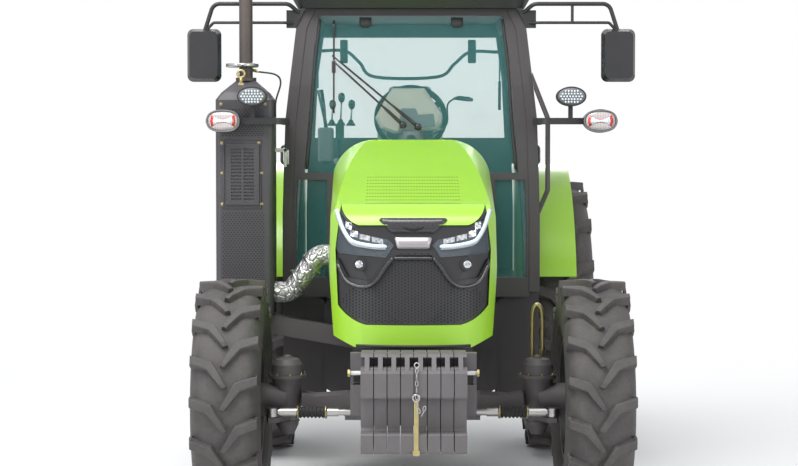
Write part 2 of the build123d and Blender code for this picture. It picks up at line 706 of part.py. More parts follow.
# door opening, (Y, Z) from the front sill corner round; it narrows downwards to pass the fender
door_hole = [(cab_front_y + a_pillar, sill_top_z), (110, sill_top_z), (235, 1500),
             (b_pillar_y - 55, 1790), (b_pillar_y - 20, header_z), (cab_front_y + a_pillar + 58, header_z),
             (cab_front_y + a_pillar, 1800)]
quarter_hole = [(b_pillar_y + b_pillar - 55, quarter_low_z), (b_pillar_y + b_pillar - 20, header_z),
                (cab_rear_y - 130, header_z), (cab_rear_y - 85, quarter_low_z)]
front_hole = [(632 - 20, screen_bottom_z), (588, 2100), (560, 2500), (528, 2700)]
lower_front_hole = [(480, 1200), (660, 1200), (660, 1560), (650, 1760), (480, 1760)]
rear_hole = [(620, 2010), (600, 2400), (560, 2660)]


for side, word in ((1, "left"), (-1, "right")):
    with BuildPart() as side_frame:
        with BuildSketch(at_y(cab_front_y)):
            with BuildLine():
                Polyline(side_band(side, 0, pillar_wall), close=True)
            make_face()
        extrude(amount=-(cab_rear_y - cab_front_y))
        with BuildSketch(at_x(0)):
            with BuildLine():
                Polyline([(cab_front_y, 1120), (cab_front_y, 1800), (-296, 2300), (-240, roof_bottom_z),
                          (cab_rear_y - 70, roof_bottom_z), (cab_rear_y - 25, 2400), (cab_rear_y, 1900),
                          arch_rear])
                ThreePointArc(arch_rear, deg_point(axle_point, arch_r, 125), arch_front)
                Polyline(arch_front, (arch_front[0], 1120), (cab_front_y, 1120))
            make_face()
            for hole in (door_hole, quarter_hole):
                with BuildLine():
                    Polyline(hole, close=True)
                make_face(mode=Mode.SUBTRACT)
        extrude(amount=900, both=True, mode=Mode.INTERSECT)
    save(side_frame, f"cab_side_frame_{word}")

# front and rear frames span the space between the two side frames
frame_side_gap = 0.4
for name, line, way, holes in (
        ("cab_front_frame", cab_front, 1, [front_hole, lower_front_hole]),
        ("cab_rear_frame", cab_back, -1, [rear_hole])):
    with BuildPart() as end_frame:
        with BuildSketch(at_x(0)):
            with BuildLine():
                Polyline(end_band(line, way, 6, pillar_wall - 8), close=True)
            make_face()
        extrude(amount=800, both=True)
        with BuildSketch(at_y(0)):
            with BuildLine():
                inner = [(x - pillar_wall - frame_side_gap, z) for x, z in cab_side]
                Polyline(mirrored(inner), close=True)
            make_face()
            for hole in holes:
                if hole is lower_front_hole:
                    for s in (1, -1):
                        with BuildLine():
                            Polyline([(s * x, z) for x, z in hole], close=True)
                        make_face(mode=Mode.SUBTRACT)
                else:
                    with BuildLine():
                        Polyline(mirrored(hole), close=True)
                    make_face(mode=Mode.SUBTRACT)
        extrude(amount=2000, both=True, mode=Mode.INTERSECT)
    save(end_frame, name)

glass_gap = 1.0
pane_rows = [
    # name, depth line, way, half outline across the middle, outline of each outer pane
    ("front_glass", cab_front, 1, front_hole, lower_front_hole),
    ("rear_window", cab_back, -1, rear_hole, None),
]
for name, line, way, hole, outer_hole in pane_rows:
    with BuildPart() as pane:
        with BuildSketch(at_x(0)):
            with BuildLine():
                Polyline(end_band(line, way, 14, 14 + glass_wall), close=True)
            make_face()
        extrude(amount=800, both=True)
        with BuildSketch(at_y(0)):
            if outer_hole:
                add(shrunk(outer_hole, glass_gap))
                mirror(about=Plane.YZ)
            add(shrunk(mirrored(hole), glass_gap))
        extrude(amount=2000, both=True, mode=Mode.INTERSECT)
    save(pane, name)

with BuildPart() as side_panes:
    with BuildSketch(at_y(cab_front_y)):
        for side in (1, -1):
            with BuildLine():
                Polyline(side_band(side, 14, 14 + glass_wall), close=True)
            make_face()
    extrude(amount=-(cab_rear_y - cab_front_y))
    with BuildSketch(at_x(0)):
        add(shrunk(quarter_hole, glass_gap))
    extrude(amount=900, both=True, mode=Mode.INTERSECT)
save(side_panes, "side_windows")

for side, word in ((1, "left"), (-1, "right")):
    # hinge brackets on the middle pillar, each with a pin up into the door's knuckle
    hinge_planes = [Plane(origin=(side * x, y, z), x_dir=(side, 0, 0), z_dir=(side * hinge_lean[0],
                                                                             hinge_lean[1], hinge_lean[2]))
                    for x, y, z in hinge_places]

    # door: a rounded frame and its glass, hinged at the rear on the middle pillar
    with BuildPart() as door:
        with BuildSketch(at_y(cab_front_y)):
            with BuildLine():
                Polyline(side_band(side, -2, door_wall - 2), close=True)
            make_face()
        extrude(amount=-(cab_rear_y - cab_front_y))
        with BuildSketch(at_x(0)):
            add(shrunk(door_hole, door_gap))
            add(shrunk(door_hole, door_gap + door_rail), mode=Mode.SUBTRACT)
        extrude(amount=900, both=True, mode=Mode.INTERSECT)
        for place in hinge_planes:
            with BuildSketch(place):
                Circle(hinge_knuckle_r)
                with Locations((-9, -side * 26)):
                    Rectangle(14, 44)
                with Locations((-16, -side * 39)):
                    Rectangle(28, 18)
            extrude(amount=30)
            with BuildSketch(place):
                Circle(hinge_pin_r + 0.08)
            extrude(amount=30, mode=Mode.SUBTRACT)
    save(door, f"door_frame_{word}")
    with BuildPart() as door_glass:
        with BuildSketch(at_y(cab_front_y)):
            with BuildLine():
                Polyline(side_band(side, 8, 8 + glass_wall), close=True)
            make_face()
        extrude(amount=-(cab_rear_y - cab_front_y))
        with BuildSketch(at_x(0)):
            add(shrunk(door_hole, door_gap + door_rail + glass_gap))
        extrude(amount=900, both=True, mode=Mode.INTERSECT)
    save(door_glass, f"door_glass_{word}")

# floor, tunnel and the wall behind the seat, under the rear window
floor_wall = 40.0
with BuildPart() as cab_floor:
    with BuildSketch(Plane.XY.offset(cab_floor_z - floor_wall)):
        with BuildLine():
            wide, narrow = 736 - pillar_wall - 2, fender_inner_x - 20
            back = cab_rear_y - pillar_wall
            Polyline((-wide, cab_front_y + 54), (wide, cab_front_y + 54), (wide, 180), (narrow, 240),
                     (narrow, back), (-narrow, back), (-narrow, 240), (-wide, 180), close=True)
        make_face()
    extrude(amount=floor_wall)
    with BuildSketch(at_x(0)):
        with BuildLine():
            Polyline((620, cab_floor_z), (700, 1420), (cab_rear_y - pillar_wall, 1420),
                     (cab_rear_y - pillar_wall, cab_floor_z), close=True)
        make_face()
    extrude(amount=300, both=True)
    for x in (-170, 170):
        for y in (-200, 1150):
            with Locations((x, y, (cab_floor_z - floor_wall + housing_top_z) / 2)):
                Cylinder(45, cab_floor_z - floor_wall - housing_top_z)
save(cab_floor, "cab_floor")

with BuildPart() as hinges:
    for side in (1, -1):
        for x, y, z in hinge_places:
            place = Plane(origin=(side * x, y, z), x_dir=(side, 0, 0),
                          z_dir=(side * hinge_lean[0], hinge_lean[1], hinge_lean[2]))
            with BuildSketch(place.offset(-2)):
                Circle(hinge_knuckle_r)
                with Locations((-14, side * 20)):
                    Rectangle(28, 40)
            extrude(amount=-16)
            with BuildSketch(place.offset(-4)):
                Circle(hinge_pin_r)
            extrude(amount=34)
        with BuildSketch(at_y(cab_front_y - 10)):
            with BuildLine():
                Polyline(side_band(side, 0, 200), close=True)
            make_face()
        extrude(amount=-1700, mode=Mode.SUBTRACT)
save(hinges, "door_hinges")

roof_over_front = 110.0
roof_over_rear = 120.0
roof_half = 690.0
with BuildPart() as roof_rim:
    mid_y = (cab_front_y + 85 - roof_over_front + cab_rear_y - 70 + roof_over_rear) / 2
    roof_long = cab_rear_y - 70 + roof_over_rear - (cab_front_y + 85 - roof_over_front)
    for z, grow in ((roof_bottom_z + seam, -40), (roof_bottom_z + 70, 0)):
        with BuildSketch(Plane.XY.offset(z)):
            with Locations((0, mid_y)):
                RectangleRounded(2 * (roof_half + grow), roof_long + 2 * grow, 150 + grow)
    loft()
save(roof_rim, "roof_rim")
with BuildPart() as roof_cap:
    for z, grow in ((roof_bottom_z + 70, -8), (roof_top_z - 60, -40), (roof_top_z, -150)):
        with BuildSketch(Plane.XY.offset(z)):
            with Locations((0, mid_y)):
                RectangleRounded(2 * (roof_half + grow), roof_long + 2 * grow, 160 + grow / 2)
    loft(ruled=True)
save(roof_cap, "roof_cap")

# ---- rear fenders -----------------------------------------------------------------------------
for side, word in ((1, "left"), (-1, "right")):
    with BuildPart() as fender:
        sheets = [(fender_inner_x, fender_outer_x, fender_r, fender_wall),
                  (fender_outer_x - 40, fender_outer_x, fender_r, 34.0)]
        for x_in, x_out, radius, wall in sheets:
            with BuildSketch(at_x(side * x_in)):
                with BuildLine():
                    ThreePointArc(deg_point(axle_point, radius, fender_front_deg),
                                  deg_point(axle_point, radius, 95),
                                  deg_point(axle_point, radius, fender_rear_deg))
                    Line(deg_point(axle_point, radius, fender_rear_deg),
                         deg_point(axle_point, radius - wall, fender_rear_deg))
                    ThreePointArc(deg_point(axle_point, radius - wall, fender_rear_deg),
                                  deg_point(axle_point, radius - wall, 95),
                                  deg_point(axle_point, radius - wall, fender_front_deg))
                    Line(deg_point(axle_point, radius - wall, fender_front_deg),
                         deg_point(axle_point, radius, fender_front_deg))
                make_face()
            extrude(amount=side * (x_out - x_in))
        with BuildSketch(at_x(side * fender_inner_x)):
            with BuildLine():
                low_front = deg_point(axle_point, fender_r, fender_front_deg)
                low_rear = deg_point(axle_point, fender_r, fender_rear_deg)
                arc = ThreePointArc(low_front, deg_point(axle_point, fender_r, 95), low_rear)
                Polyline(low_rear, (cab_rear_y + 60, cab_floor_z - 60), (low_front[0], cab_floor_z - 60),
                         low_front)
            make_face()
        extrude(amount=-side * fender_wall)
    save(fender, f"rear_fender_{word}")

# ---- seat and controls -------------------------------------------------------------------------
seat_y = 760.0
seat_top_z = 1640.0
with BuildPart() as seat_base:
    with BuildSketch(Plane.XY.offset(1420)):
        with Locations((0, seat_y)):
            RectangleRounded(360, 380, 40)
    with BuildSketch(Plane.XY.offset(seat_top_z - 110)):
        with Locations((0, seat_y)):
            RectangleRounded(420, 440, 40)
    loft()
    with Locations((0, seat_y + 262, 1800)):
        Box(300, 24, 560)
    with Locations((0, seat_y + 232, seat_top_z - 130)):
        Box(300, 84, 40)
save(seat_base, "seat_base")

with BuildPart() as seat_pads:
    with BuildSketch(Plane.XY.offset(seat_top_z - 109)):
        with Locations((0, seat_y - 20)):
            RectangleRounded(480, 470, 90)
    extrude(amount=109)
    with BuildSketch(at_y(seat_y + 249)):
        with Locations((0, 1950)):
            RectangleRounded(470, 560, 110)
        with Locations((0, 2270)):
            RectangleRounded(300, 150, 50)
    extrude(amount=95)
save(seat_pads, "seat_cushions")

wheel_centre = (0.0, 205.0, 2120.0)
wheel_tilt = 60.0
wheel_ring_r = 205.0
wheel_plane = Plane(origin=wheel_centre, x_dir=(1, 0, 0), z_dir=(0, sin(radians(wheel_tilt)),
                                                                  cos(radians(wheel_tilt))))
with BuildPart() as dash:
    with BuildSketch(at_x(0)):
        with BuildLine():
            Polyline((cab_front_y + 60, 1151), (cab_front_y + 60, 1930), (-190, 1985), (-40, 1960),
                     (20, 1890), (-60, 1700), (-90, 1151), close=True)
        make_face()
    extrude(amount=170, both=True)
    with BuildSketch(wheel_plane.offset(-12)):
        Circle(26)
    extrude(amount=-330)
    with BuildSketch(wheel_plane.offset(-12)):
        Circle(wheel_ring_r + 14)
        Circle(wheel_ring_r - 14, mode=Mode.SUBTRACT)
        for turn in (90, 210, 330):
            with Locations(Rot(0, 0, turn) * Pos(wheel_ring_r / 2, 0)):
                Rectangle(wheel_ring_r, 34)
        Circle(52)
    extrude(amount=24)
save(dash, "steering_console")

with BuildPart() as console:
    with BuildSketch(at_x(-330)):
        with BuildLine():
            Polyline((420, cab_floor_z + 1), (400, 1600), (330, 1850), (420, 1880), (900, 1760),
                     (1000, 1600), (1000, cab_floor_z + 1), close=True)
        make_face()
    extrude(amount=-200)
    with Locations((-430, 400, 1930)):
        Cylinder(14, 190)
    with Locations((-430, 400, 2040)):
        Box(50, 60, 90)
save(console, "side_console")

# ---- exhaust --------------------------------------------------------------------------------------
box_in_x = 770.0
box_out_x = 1093.0
box_front_y = -600.0
box_rear_y = -312.0
box_bottom_z = 1010.0
box_top_z = 2209.0
cap_top_z = 2318.0
louvre_rise = 10.0
louvre_pitch = 18.4
louvre_rows = 16
mid_x = -(box_in_x + box_out_x) / 2
mid_box_y = (box_front_y + box_rear_y) / 2
box_wide = box_out_x - box_in_x
box_deep = box_rear_y - box_front_y
with BuildPart() as box:
    with BuildSketch(Plane.XY.offset(box_bottom_z)):
        with Locations((mid_x, mid_box_y)):
            RectangleRounded(box_wide, box_deep, 30)
    extrude(amount=box_top_z - box_bottom_z)
    for z, z_next, cut, cut_next in ((box_top_z, box_top_z + 42, 0, 30), (box_top_z + 42, cap_top_z, 30, 105)):
        with BuildSketch(Plane.XY.offset(z)):
            with Locations((mid_x, mid_box_y)):
                RectangleRounded(box_wide - 2 * cut, box_deep - 2 * cut, 24)
        with BuildSketch(Plane.XY.offset(z_next)):
            with Locations((mid_x, mid_box_y)):
                RectangleRounded(box_wide - 2 * cut_next, box_deep - 2 * cut_next, 24)
        loft()
    # raised louvre panel on the front face, with two columns of slits
    with Locations((-941.5, box_front_y - louvre_rise / 2, 1795)):
        Box(185, louvre_rise, 340)
    with BuildSketch(at_y(box_front_y - louvre_rise)):
        with Locations((-941.5, 1795)):
            with GridLocations(70, louvre_pitch, 2, louvre_rows):
                Rectangle(57, louvre_pitch / 2)
    extrude(amount=-0.7 * louvre_rise, mode=Mode.SUBTRACT)
save(box, "aftertreatment_box")

stack_r = 38.0
stack_top_z = 2900.0
with BuildPart() as stack:
    with BuildLine():
        stack_line = FilletPolyline((mid_x, mid_box_y, cap_top_z), (mid_x, mid_box_y, stack_top_z - 90),
                                    (mid_x - 70, mid_box_y + 30, stack_top_z), radius=160)
    with BuildSketch(Plane(origin=stack_line @ 0, z_dir=stack_line % 0)):
        Circle(stack_r)
    sweep()
    with BuildSketch(Plane(origin=(mid_x, mid_box_y, cap_top_z))):
        Circle(58)
    extrude(amount=18)
save(stack, "exhaust_stack")

pipe_r = 58.0
with BuildPart() as pipe:
    with BuildLine():
        pipe_line = FilletPolyline((-bonnet_half_rear - seam, -500, 1340), (-525, -500, 1340),
                                   (-680, -500, 1130), (-box_in_x + seam, -500, 1130), radius=75)
    with BuildSketch(Plane(origin=pipe_line @ 0, z_dir=pipe_line % 0)):
        Circle(pipe_r)
    sweep()
save(pipe, "exhaust_pipe")

beam_deep = 110.0
with BuildPart() as box_beam:
    with BuildSketch(at_y(-500)):
        with BuildLine():
            Polyline((-engine_half, 800), (-engine_half, 900), (-box_in_x - 60, box_bottom_z - 1),
                     (-box_out_x + 60, box_bottom_z - 1), (-box_out_x + 60, box_bottom_z - 50),
                     (-box_in_x - 40, box_bottom_z - 110), close=True)
        make_face()
    extrude(amount=-beam_deep)
save(box_beam, "exhaust_beam")

# ---- mirrors, lamps, rails -------------------------------------------------------------------------
mirror_out_x = 1280.0
mirror_wide = 195.0
mirror_z = (2319.0, 2621.0)
mirror_deep = 60.0
arm_r = 12.0
arm_y = -290.0
low_arm_z = 2657.0
strut_x = 920.0
with BuildPart() as mirrors:
    for side in (1, -1):
        mirror_x = side * (mirror_out_x - mirror_wide / 2)
        with BuildSketch(at_y(arm_y)):
            with Locations((mirror_x, sum(mirror_z) / 2)):
                RectangleRounded(mirror_wide, mirror_z[1] - mirror_z[0], 36)
        with BuildSketch(at_y(arm_y - mirror_deep)):
            with Locations((mirror_x, sum(mirror_z) / 2)):
                RectangleRounded(mirror_wide - 36, mirror_z[1] - mirror_z[0] - 36, 28)
        loft()
        with BuildLine():
            arm_line = FilletPolyline((side * 612, arm_y + 60, 2690), (side * 700, arm_y, 2764),
                                      (side * 1130, arm_y, 2764), (mirror_x, arm_y, mirror_z[1] - 20),
                                      radius=50)
        with BuildSketch(Plane(origin=arm_line @ 0, z_dir=arm_line % 0)):
            Circle(arm_r)
        sweep()
        with BuildLine():
            low_line = FilletPolyline((side * 640, arm_y + 60, low_arm_z), (side * 730, arm_y, low_arm_z),
                                      (side * 1130, arm_y, low_arm_z), (mirror_x, arm_y, mirror_z[1] - 20),
                                      radius=20)
        with BuildSketch(Plane(origin=low_line @ 0, z_dir=low_line % 0)):
            Circle(0.7 * arm_r)
        sweep()
        with Locations((side * strut_x, arm_y, (low_arm_z + 2764) / 2)):
            Cylinder(0.7 * arm_r, 2764 - low_arm_z)
        with Locations((side * 660, arm_y + 50, 2680)):
            Box(110, 40, 100)
        with BuildSketch(at_y(cab_front_y - 10)):
            with BuildLine():
                Polyline(side_band(side, 0, 200), close=True)
            make_face()
        extrude(amount=-400, mode=Mode.SUBTRACT)
save(mirrors, "mirrors")

lamp_y = -640.0
with BuildPart() as stalk_lamps:
    for side in (1, -1):
        with BuildLine():
            stalk_line = FilletPolyline((side * 712, cab_front_y - 10, 2090), (side * 712, lamp_y, 2090),
                                        (side * 1040, lamp_y, 2090), radius=60)
        with BuildSketch(Plane(origin=stalk_line @ 0, z_dir=stalk_line % 0)):
            Rectangle(36, 36)
        sweep()
        for x, z, wide, high in ((1040, 2090, 190, 130), (880, 2225, 165, 109)):
            with BuildSketch(at_y(lamp_y - 10)):
                with Locations((side * x, z)):
                    Ellipse(wide / 2, high / 2)
            extrude(amount=60)
        with Locations((side * 880, lamp_y - 6, 2140)):
            Box(24, 24, 110)
save(stalk_lamps, "stalk_lamps")

rail_r = 14.0
with BuildPart() as handrail:
    with BuildLine():
        rail_line = FilletPolyline((680, cab_front_y + 22, 2365), (778, cab_front_y - 18, 2110),
                                   (778, cab_front_y - 18, 1700), (720, cab_front_y + 22, 1555),
                                   radius=50)
    with BuildSketch(Plane(origin=rail_line @ 0, z_dir=rail_line % 0)):
        Circle(rail_r)
    sweep()
    with BuildSketch(at_y(cab_front_y - 60)):
        with BuildLine():
            Polyline(side_band(1, 0, 200), close=True)
        make_face()
    extrude(amount=-400, mode=Mode.SUBTRACT)
save(handrail, "handrail")

with BuildPart() as work_lamps:
    for x in (-430, 430):
        with BuildSketch(Plane.XY.offset(roof_top_z)):
            with Locations((x, cab_front_y + 170), (x, cab_rear_y - 210)):
                RectangleRounded(150, 70, 20)
        extrude(amount=70)
save(work_lamps, "roof_lamps")

# steps hang from the transmission on both sides; the fuel tank is ahead of the left steps
tank_y = (-280.0, 170.0)
with BuildPart() as fuel_tank:
    for side in (1, -1):
        with BuildSketch(at_y(tank_y[0])):
            with BuildLine():
                Polyline([(side * x, z) for x, z in ((housing_half + 2, 560), (430, 520), (500, 560),
                                                     (500, 1040), (470, 1080), (housing_half + 2, 1080))],
                         close=True)
            make_face()
        extrude(amount=-(tank_y[1] - tank_y[0]))
save(fuel_tank, "fuel_tanks")

with BuildPart() as steps:
    for side in (1, -1):
        for z, x_out in ((460, 800), (690, 800), (915, 800)):
            with Locations((side * (501 + x_out) / 2, -55, z)):
                Box(x_out - 501, 300, 30)
        for y in (-205, 95):
            with BuildSketch(at_y(y + 6)):
                with BuildLine():
                    Polyline([(side * x, z) for x, z in ((501, 445), (800, 445), (800, 480), (740, 700),
                                                         (740, 1108), (600, 1108), (501, 1060))],
                             close=True)
                make_face()
            extrude(amount=12)
save(steps, "cab_steps")

# ---- three-point hitch ---------------------------------------------------------------------------
link_eye = (overall_rear_y - 42.0, 520.0)
link_x = 330.0
lift_point = (1860.0, 511.0)
arm_end = (1870.0, 1120.0)
lift_arm_x = 285.0
with BuildPart() as lower_links:
    for side in (1, -1):
        with BuildSketch(at_x(side * link_x)):
            with BuildLine():
                Polyline((link_pivot[0], link_pivot[1] - 36), (link_eye[0], link_eye[1] - 34),
                         (link_eye[0], link_eye[1] + 34), (link_pivot[0], link_pivot[1] + 36), close=True)
            make_face()
            with Locations(link_pivot, link_eye):
                Circle(42)
            with Locations(link_eye):
                Circle(14.35, mode=Mode.SUBTRACT)
            with Locations(link_pivot):
                Circle(link_pin_r + 0.1, mode=Mode.SUBTRACT)
        extrude(amount=16, both=True)
save(lower_links, "lower_links")

with BuildPart() as lift_arms:
    with Locations((0, arm_pivot[0], arm_pivot[1])):
        Cylinder(rockshaft_r, 2 * lift_arm_x + 40, rotation=(0, 90, 0))
    for side in (1, -1):
        with BuildSketch(at_x(side * lift_arm_x)):
            with BuildLine():
                Polyline((arm_pivot[0], arm_pivot[1] - 48), (arm_end[0], arm_end[1] - 30),
                         (arm_end[0], arm_end[1] + 30), (arm_pivot[0], arm_pivot[1] + 48), close=True)
            make_face()
            with Locations(arm_end):
                Circle(34)
        extrude(amount=14, both=True)
        with Locations((side * (lift_arm_x + 32), arm_end[0], arm_end[1])):
            Cylinder(14, 36, rotation=(0, 90, 0))
save(lift_arms, "lift_arms")

rod_x = lift_arm_x + 36
with BuildPart() as lift_rods:
    for side in (1, -1):
        top = (side * rod_x, arm_end[0], arm_end[1])
        with Locations(top):
            Cylinder(30, 24, rotation=(0, 90, 0))
        with Locations((side * rod_x, arm_end[0], (arm_end[1] + lift_point[1]) / 2 + 30)):
            Cylinder(17, arm_end[1] - lift_point[1] - 60)
        with Locations(top):
            Cylinder(14.1, 60, rotation=(0, 90, 0), mode=Mode.SUBTRACT)
save(lift_rods, "lift_rods")

# the drawbar, a flat bar under the rear housing, and the top-link bracket above it
drawbar_z = 430.0
drawbar_wall = 40.0
drawbar_rear_y = 1960.0
drawbar_pin_y = 1900.0
drawbar_pin_r = 16.0
housing_rear_y = cab_rear_y + 75
with BuildPart() as rear_bracket:
    with BuildSketch(at_x(0)):
        with BuildLine():
            Polyline((housing_rear_y, 800), (housing_rear_y + 75, 800), (housing_rear_y + 75, 960),
                     (housing_rear_y, 1000), close=True)
        make_face()
    extrude(amount=60, both=True)
    with BuildSketch(at_x(0)):
        with BuildLine():
            Polyline((housing_rear_y, drawbar_z + 10), (housing_rear_y, 600), (housing_rear_y + 115, 500),
                     (1700, drawbar_z + drawbar_wall), (drawbar_rear_y, drawbar_z + drawbar_wall),
                     (drawbar_rear_y, drawbar_z), (cab_rear_y - 60, drawbar_z), (cab_rear_y - 60, 559),
                     close=True)
        make_face()
    extrude(amount=50, both=True)
    with Locations((0, drawbar_pin_y, drawbar_z + drawbar_wall / 2)):
        Cylinder(drawbar_pin_r, 2 * drawbar_wall, mode=Mode.SUBTRACT)
save(rear_bracket, "drawbar")
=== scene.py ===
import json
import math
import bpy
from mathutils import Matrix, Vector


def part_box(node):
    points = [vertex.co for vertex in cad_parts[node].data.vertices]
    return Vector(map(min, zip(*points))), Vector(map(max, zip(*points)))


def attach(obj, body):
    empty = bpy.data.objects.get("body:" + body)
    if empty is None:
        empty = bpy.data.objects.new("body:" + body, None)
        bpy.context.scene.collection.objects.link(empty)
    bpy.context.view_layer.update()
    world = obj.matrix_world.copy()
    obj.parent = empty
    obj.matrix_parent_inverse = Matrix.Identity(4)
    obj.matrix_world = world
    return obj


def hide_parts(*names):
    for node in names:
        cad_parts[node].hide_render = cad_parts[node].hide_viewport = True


bl_info = {
    "name": "Farm Tractor Dressing",
    "version": (1, 0, 0),
    "blender": (4, 5, 0),
    "location": "3D View > Sidebar > Tractor",
    "description": "Dresses a four-wheel-drive cab tractor: tyres, lamps, grilles, seat, trim and finishes",
    "category": "Add Mesh",
}

import bmesh
import bpy
import numpy as np
from mathutils import Matrix, Vector
from mathutils.bvhtree import BVHTree

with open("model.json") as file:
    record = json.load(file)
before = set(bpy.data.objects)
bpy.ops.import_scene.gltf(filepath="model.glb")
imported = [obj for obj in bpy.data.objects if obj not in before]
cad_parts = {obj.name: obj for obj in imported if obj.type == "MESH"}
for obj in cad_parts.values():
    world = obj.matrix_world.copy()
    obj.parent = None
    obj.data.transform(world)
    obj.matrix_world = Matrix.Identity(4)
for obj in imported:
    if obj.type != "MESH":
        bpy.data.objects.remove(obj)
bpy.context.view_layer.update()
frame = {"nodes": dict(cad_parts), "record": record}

X, Y, Z = Vector((1, 0, 0)), Vector((0, 1, 0)), Vector((0, 0, 1))
SIDES = (("left", 1), ("right", -1))


def middle(node):
    """Centre of a frame node's box."""
    low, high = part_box(node)
    return (low + high) / 2


# ---- settings -------------------------------------------------------------------------------


def colour(label, note, rgb):
    """A colour setting; the values are linear."""
    return bpy.props.FloatVectorProperty(name=label, description=note, subtype="COLOR", size=3,
                                         min=0, max=1, default=rgb)


def length(label, note, metres):
    """A length setting in metres."""
    return bpy.props.FloatProperty(name=label, description=note, default=metres, min=0,
                                   unit="LENGTH", subtype="DISTANCE")


def count(label, note, number):
    """A setting that is a whole number."""
    return bpy.props.IntProperty(name=label, description=note, default=number, min=1)


class TractorFinishes(bpy.types.PropertyGroup):
    """Colours of the tractor's paints and materials."""
    lime: colour("Lime paint", "Bonnet, fenders and roof", (0.315, 0.60, 0.032))
    frame_dark: colour("Frame paint", "Cab frame and doors", (0.050, 0.045, 0.048))
    column_dark: colour("Column paint", "Exhaust aftertreatment housing", (0.055, 0.052, 0.060))
    plastic: colour("Black plastic", "Mask, mirrors and trim", (0.018, 0.018, 0.020))
    rubber: colour("Tyre rubber", "Tread and sidewalls", (0.060, 0.055, 0.056))
    dust: colour("Dust", "Dust in the tread and on ledges", (0.19, 0.17, 0.15))
    iron: colour("Painted casting", "Engine, axles and weights", (0.105, 0.095, 0.098))
    weight_grey: colour("Weight paint", "Front weights", (0.115, 0.106, 0.110))
    rim: colour("Rim paint", "Wheel rims", (0.075, 0.070, 0.074))
    zinc: colour("Zinc plate", "Weight pin and fittings", (0.55, 0.47, 0.22))
    steel: colour("Steel", "Rods and shafts", (0.52, 0.51, 0.50))
    foil: colour("Heat foil", "Wrap of the exhaust pipe", (0.62, 0.61, 0.62))
    glass: colour("Glass tint", "Cab glass", (0.10, 0.42, 0.42))
    seat_cloth: colour("Seat cloth", "Middle panels of the seat", (0.075, 0.072, 0.078))
    seat_edge: colour("Seat vinyl", "Bolsters of the seat", (0.50, 0.46, 0.38))


class TractorSizes(bpy.types.PropertyGroup):
    """Sizes of the dressing that a user would change."""
    front_lugs: count("Front lugs", "Lugs on each side of a front tyre", 18)
    rear_lugs: count("Rear lugs", "Lugs on each side of a rear tyre", 17)
    front_lug_height: length("Front lug height", "Height of the front lugs", 0.034)
    rear_lug_height: length("Rear lug height", "Height of the rear lugs", 0.042)
    bolt_size: length("Wheel bolt", "Width of a wheel bolt's head", 0.030)
    seal_radius: length("Glass seal", "Radius of the rubber round the glass", 0.009)


class TractorStage(bpy.types.PropertyGroup):
    """Camera, lamps and floor."""
    lens: bpy.props.FloatProperty(name="Lens", description="Focal length in mm", default=86.8,
                                  min=10, subtype="DISTANCE_CAMERA")
    camera_distance: length("Camera distance", "Ahead of the front axle", 10.0)
    camera_height: length("Camera height", "Above the ground", 1.93)
    camera_pitch: bpy.props.FloatProperty(name="Pitch", description="Tilt below level",
                                          default=math.radians(2.47), subtype="ANGLE")
    camera_side: bpy.props.FloatProperty(name="Camera side", description="Sideways place of the camera",
                                         default=-0.07, unit="LENGTH", subtype="DISTANCE")
    floor_size: length("Floor size", "Half width of the floor", 60.0)
    key_power: bpy.props.FloatProperty(name="Key lamp", description="Power of the overhead lamp",
                                       default=780, min=0, unit="POWER")
    fill_power: bpy.props.FloatProperty(name="Fill lamp", description="Power of the front lamps",
                                        default=195, min=0, unit="POWER")
    sky: bpy.props.FloatProperty(name="Sky", description="Strength of the even light", default=0.55,
                                 min=0)


# ---- shader maths ---------------------------------------------------------------------------


class Value:
    """A socket that takes part in arithmetic; each operation adds one Math node."""

    def __init__(self, tree, socket):
        self.tree = tree
        self.socket = socket

    def math(self, operation, *others):
        node = self.tree.nodes.new("ShaderNodeMath")
        node.operation = operation
        for slot, item in zip(node.inputs, (self,) + others):
            if isinstance(item, Value):
                self.tree.links.new(item.socket, slot)
            else:
                slot.default_value = item
        return Value(self.tree, node.outputs[0])

    def __add__(self, other):
        return self.math("ADD", other)

    def __sub__(self, other):
        return self.math("SUBTRACT", other)

    def __mul__(self, other):
        return self.math("MULTIPLY", other)

    def __truediv__(self, other):
        return self.math("DIVIDE", other)

    def __rsub__(self, other):
        return (self * -1.0).math("ADD", other)

    def clamped(self):
        return self.math("MAXIMUM", 0.0).math("MINIMUM", 1.0)

    __radd__ = __add__
    __rmul__ = __mul__


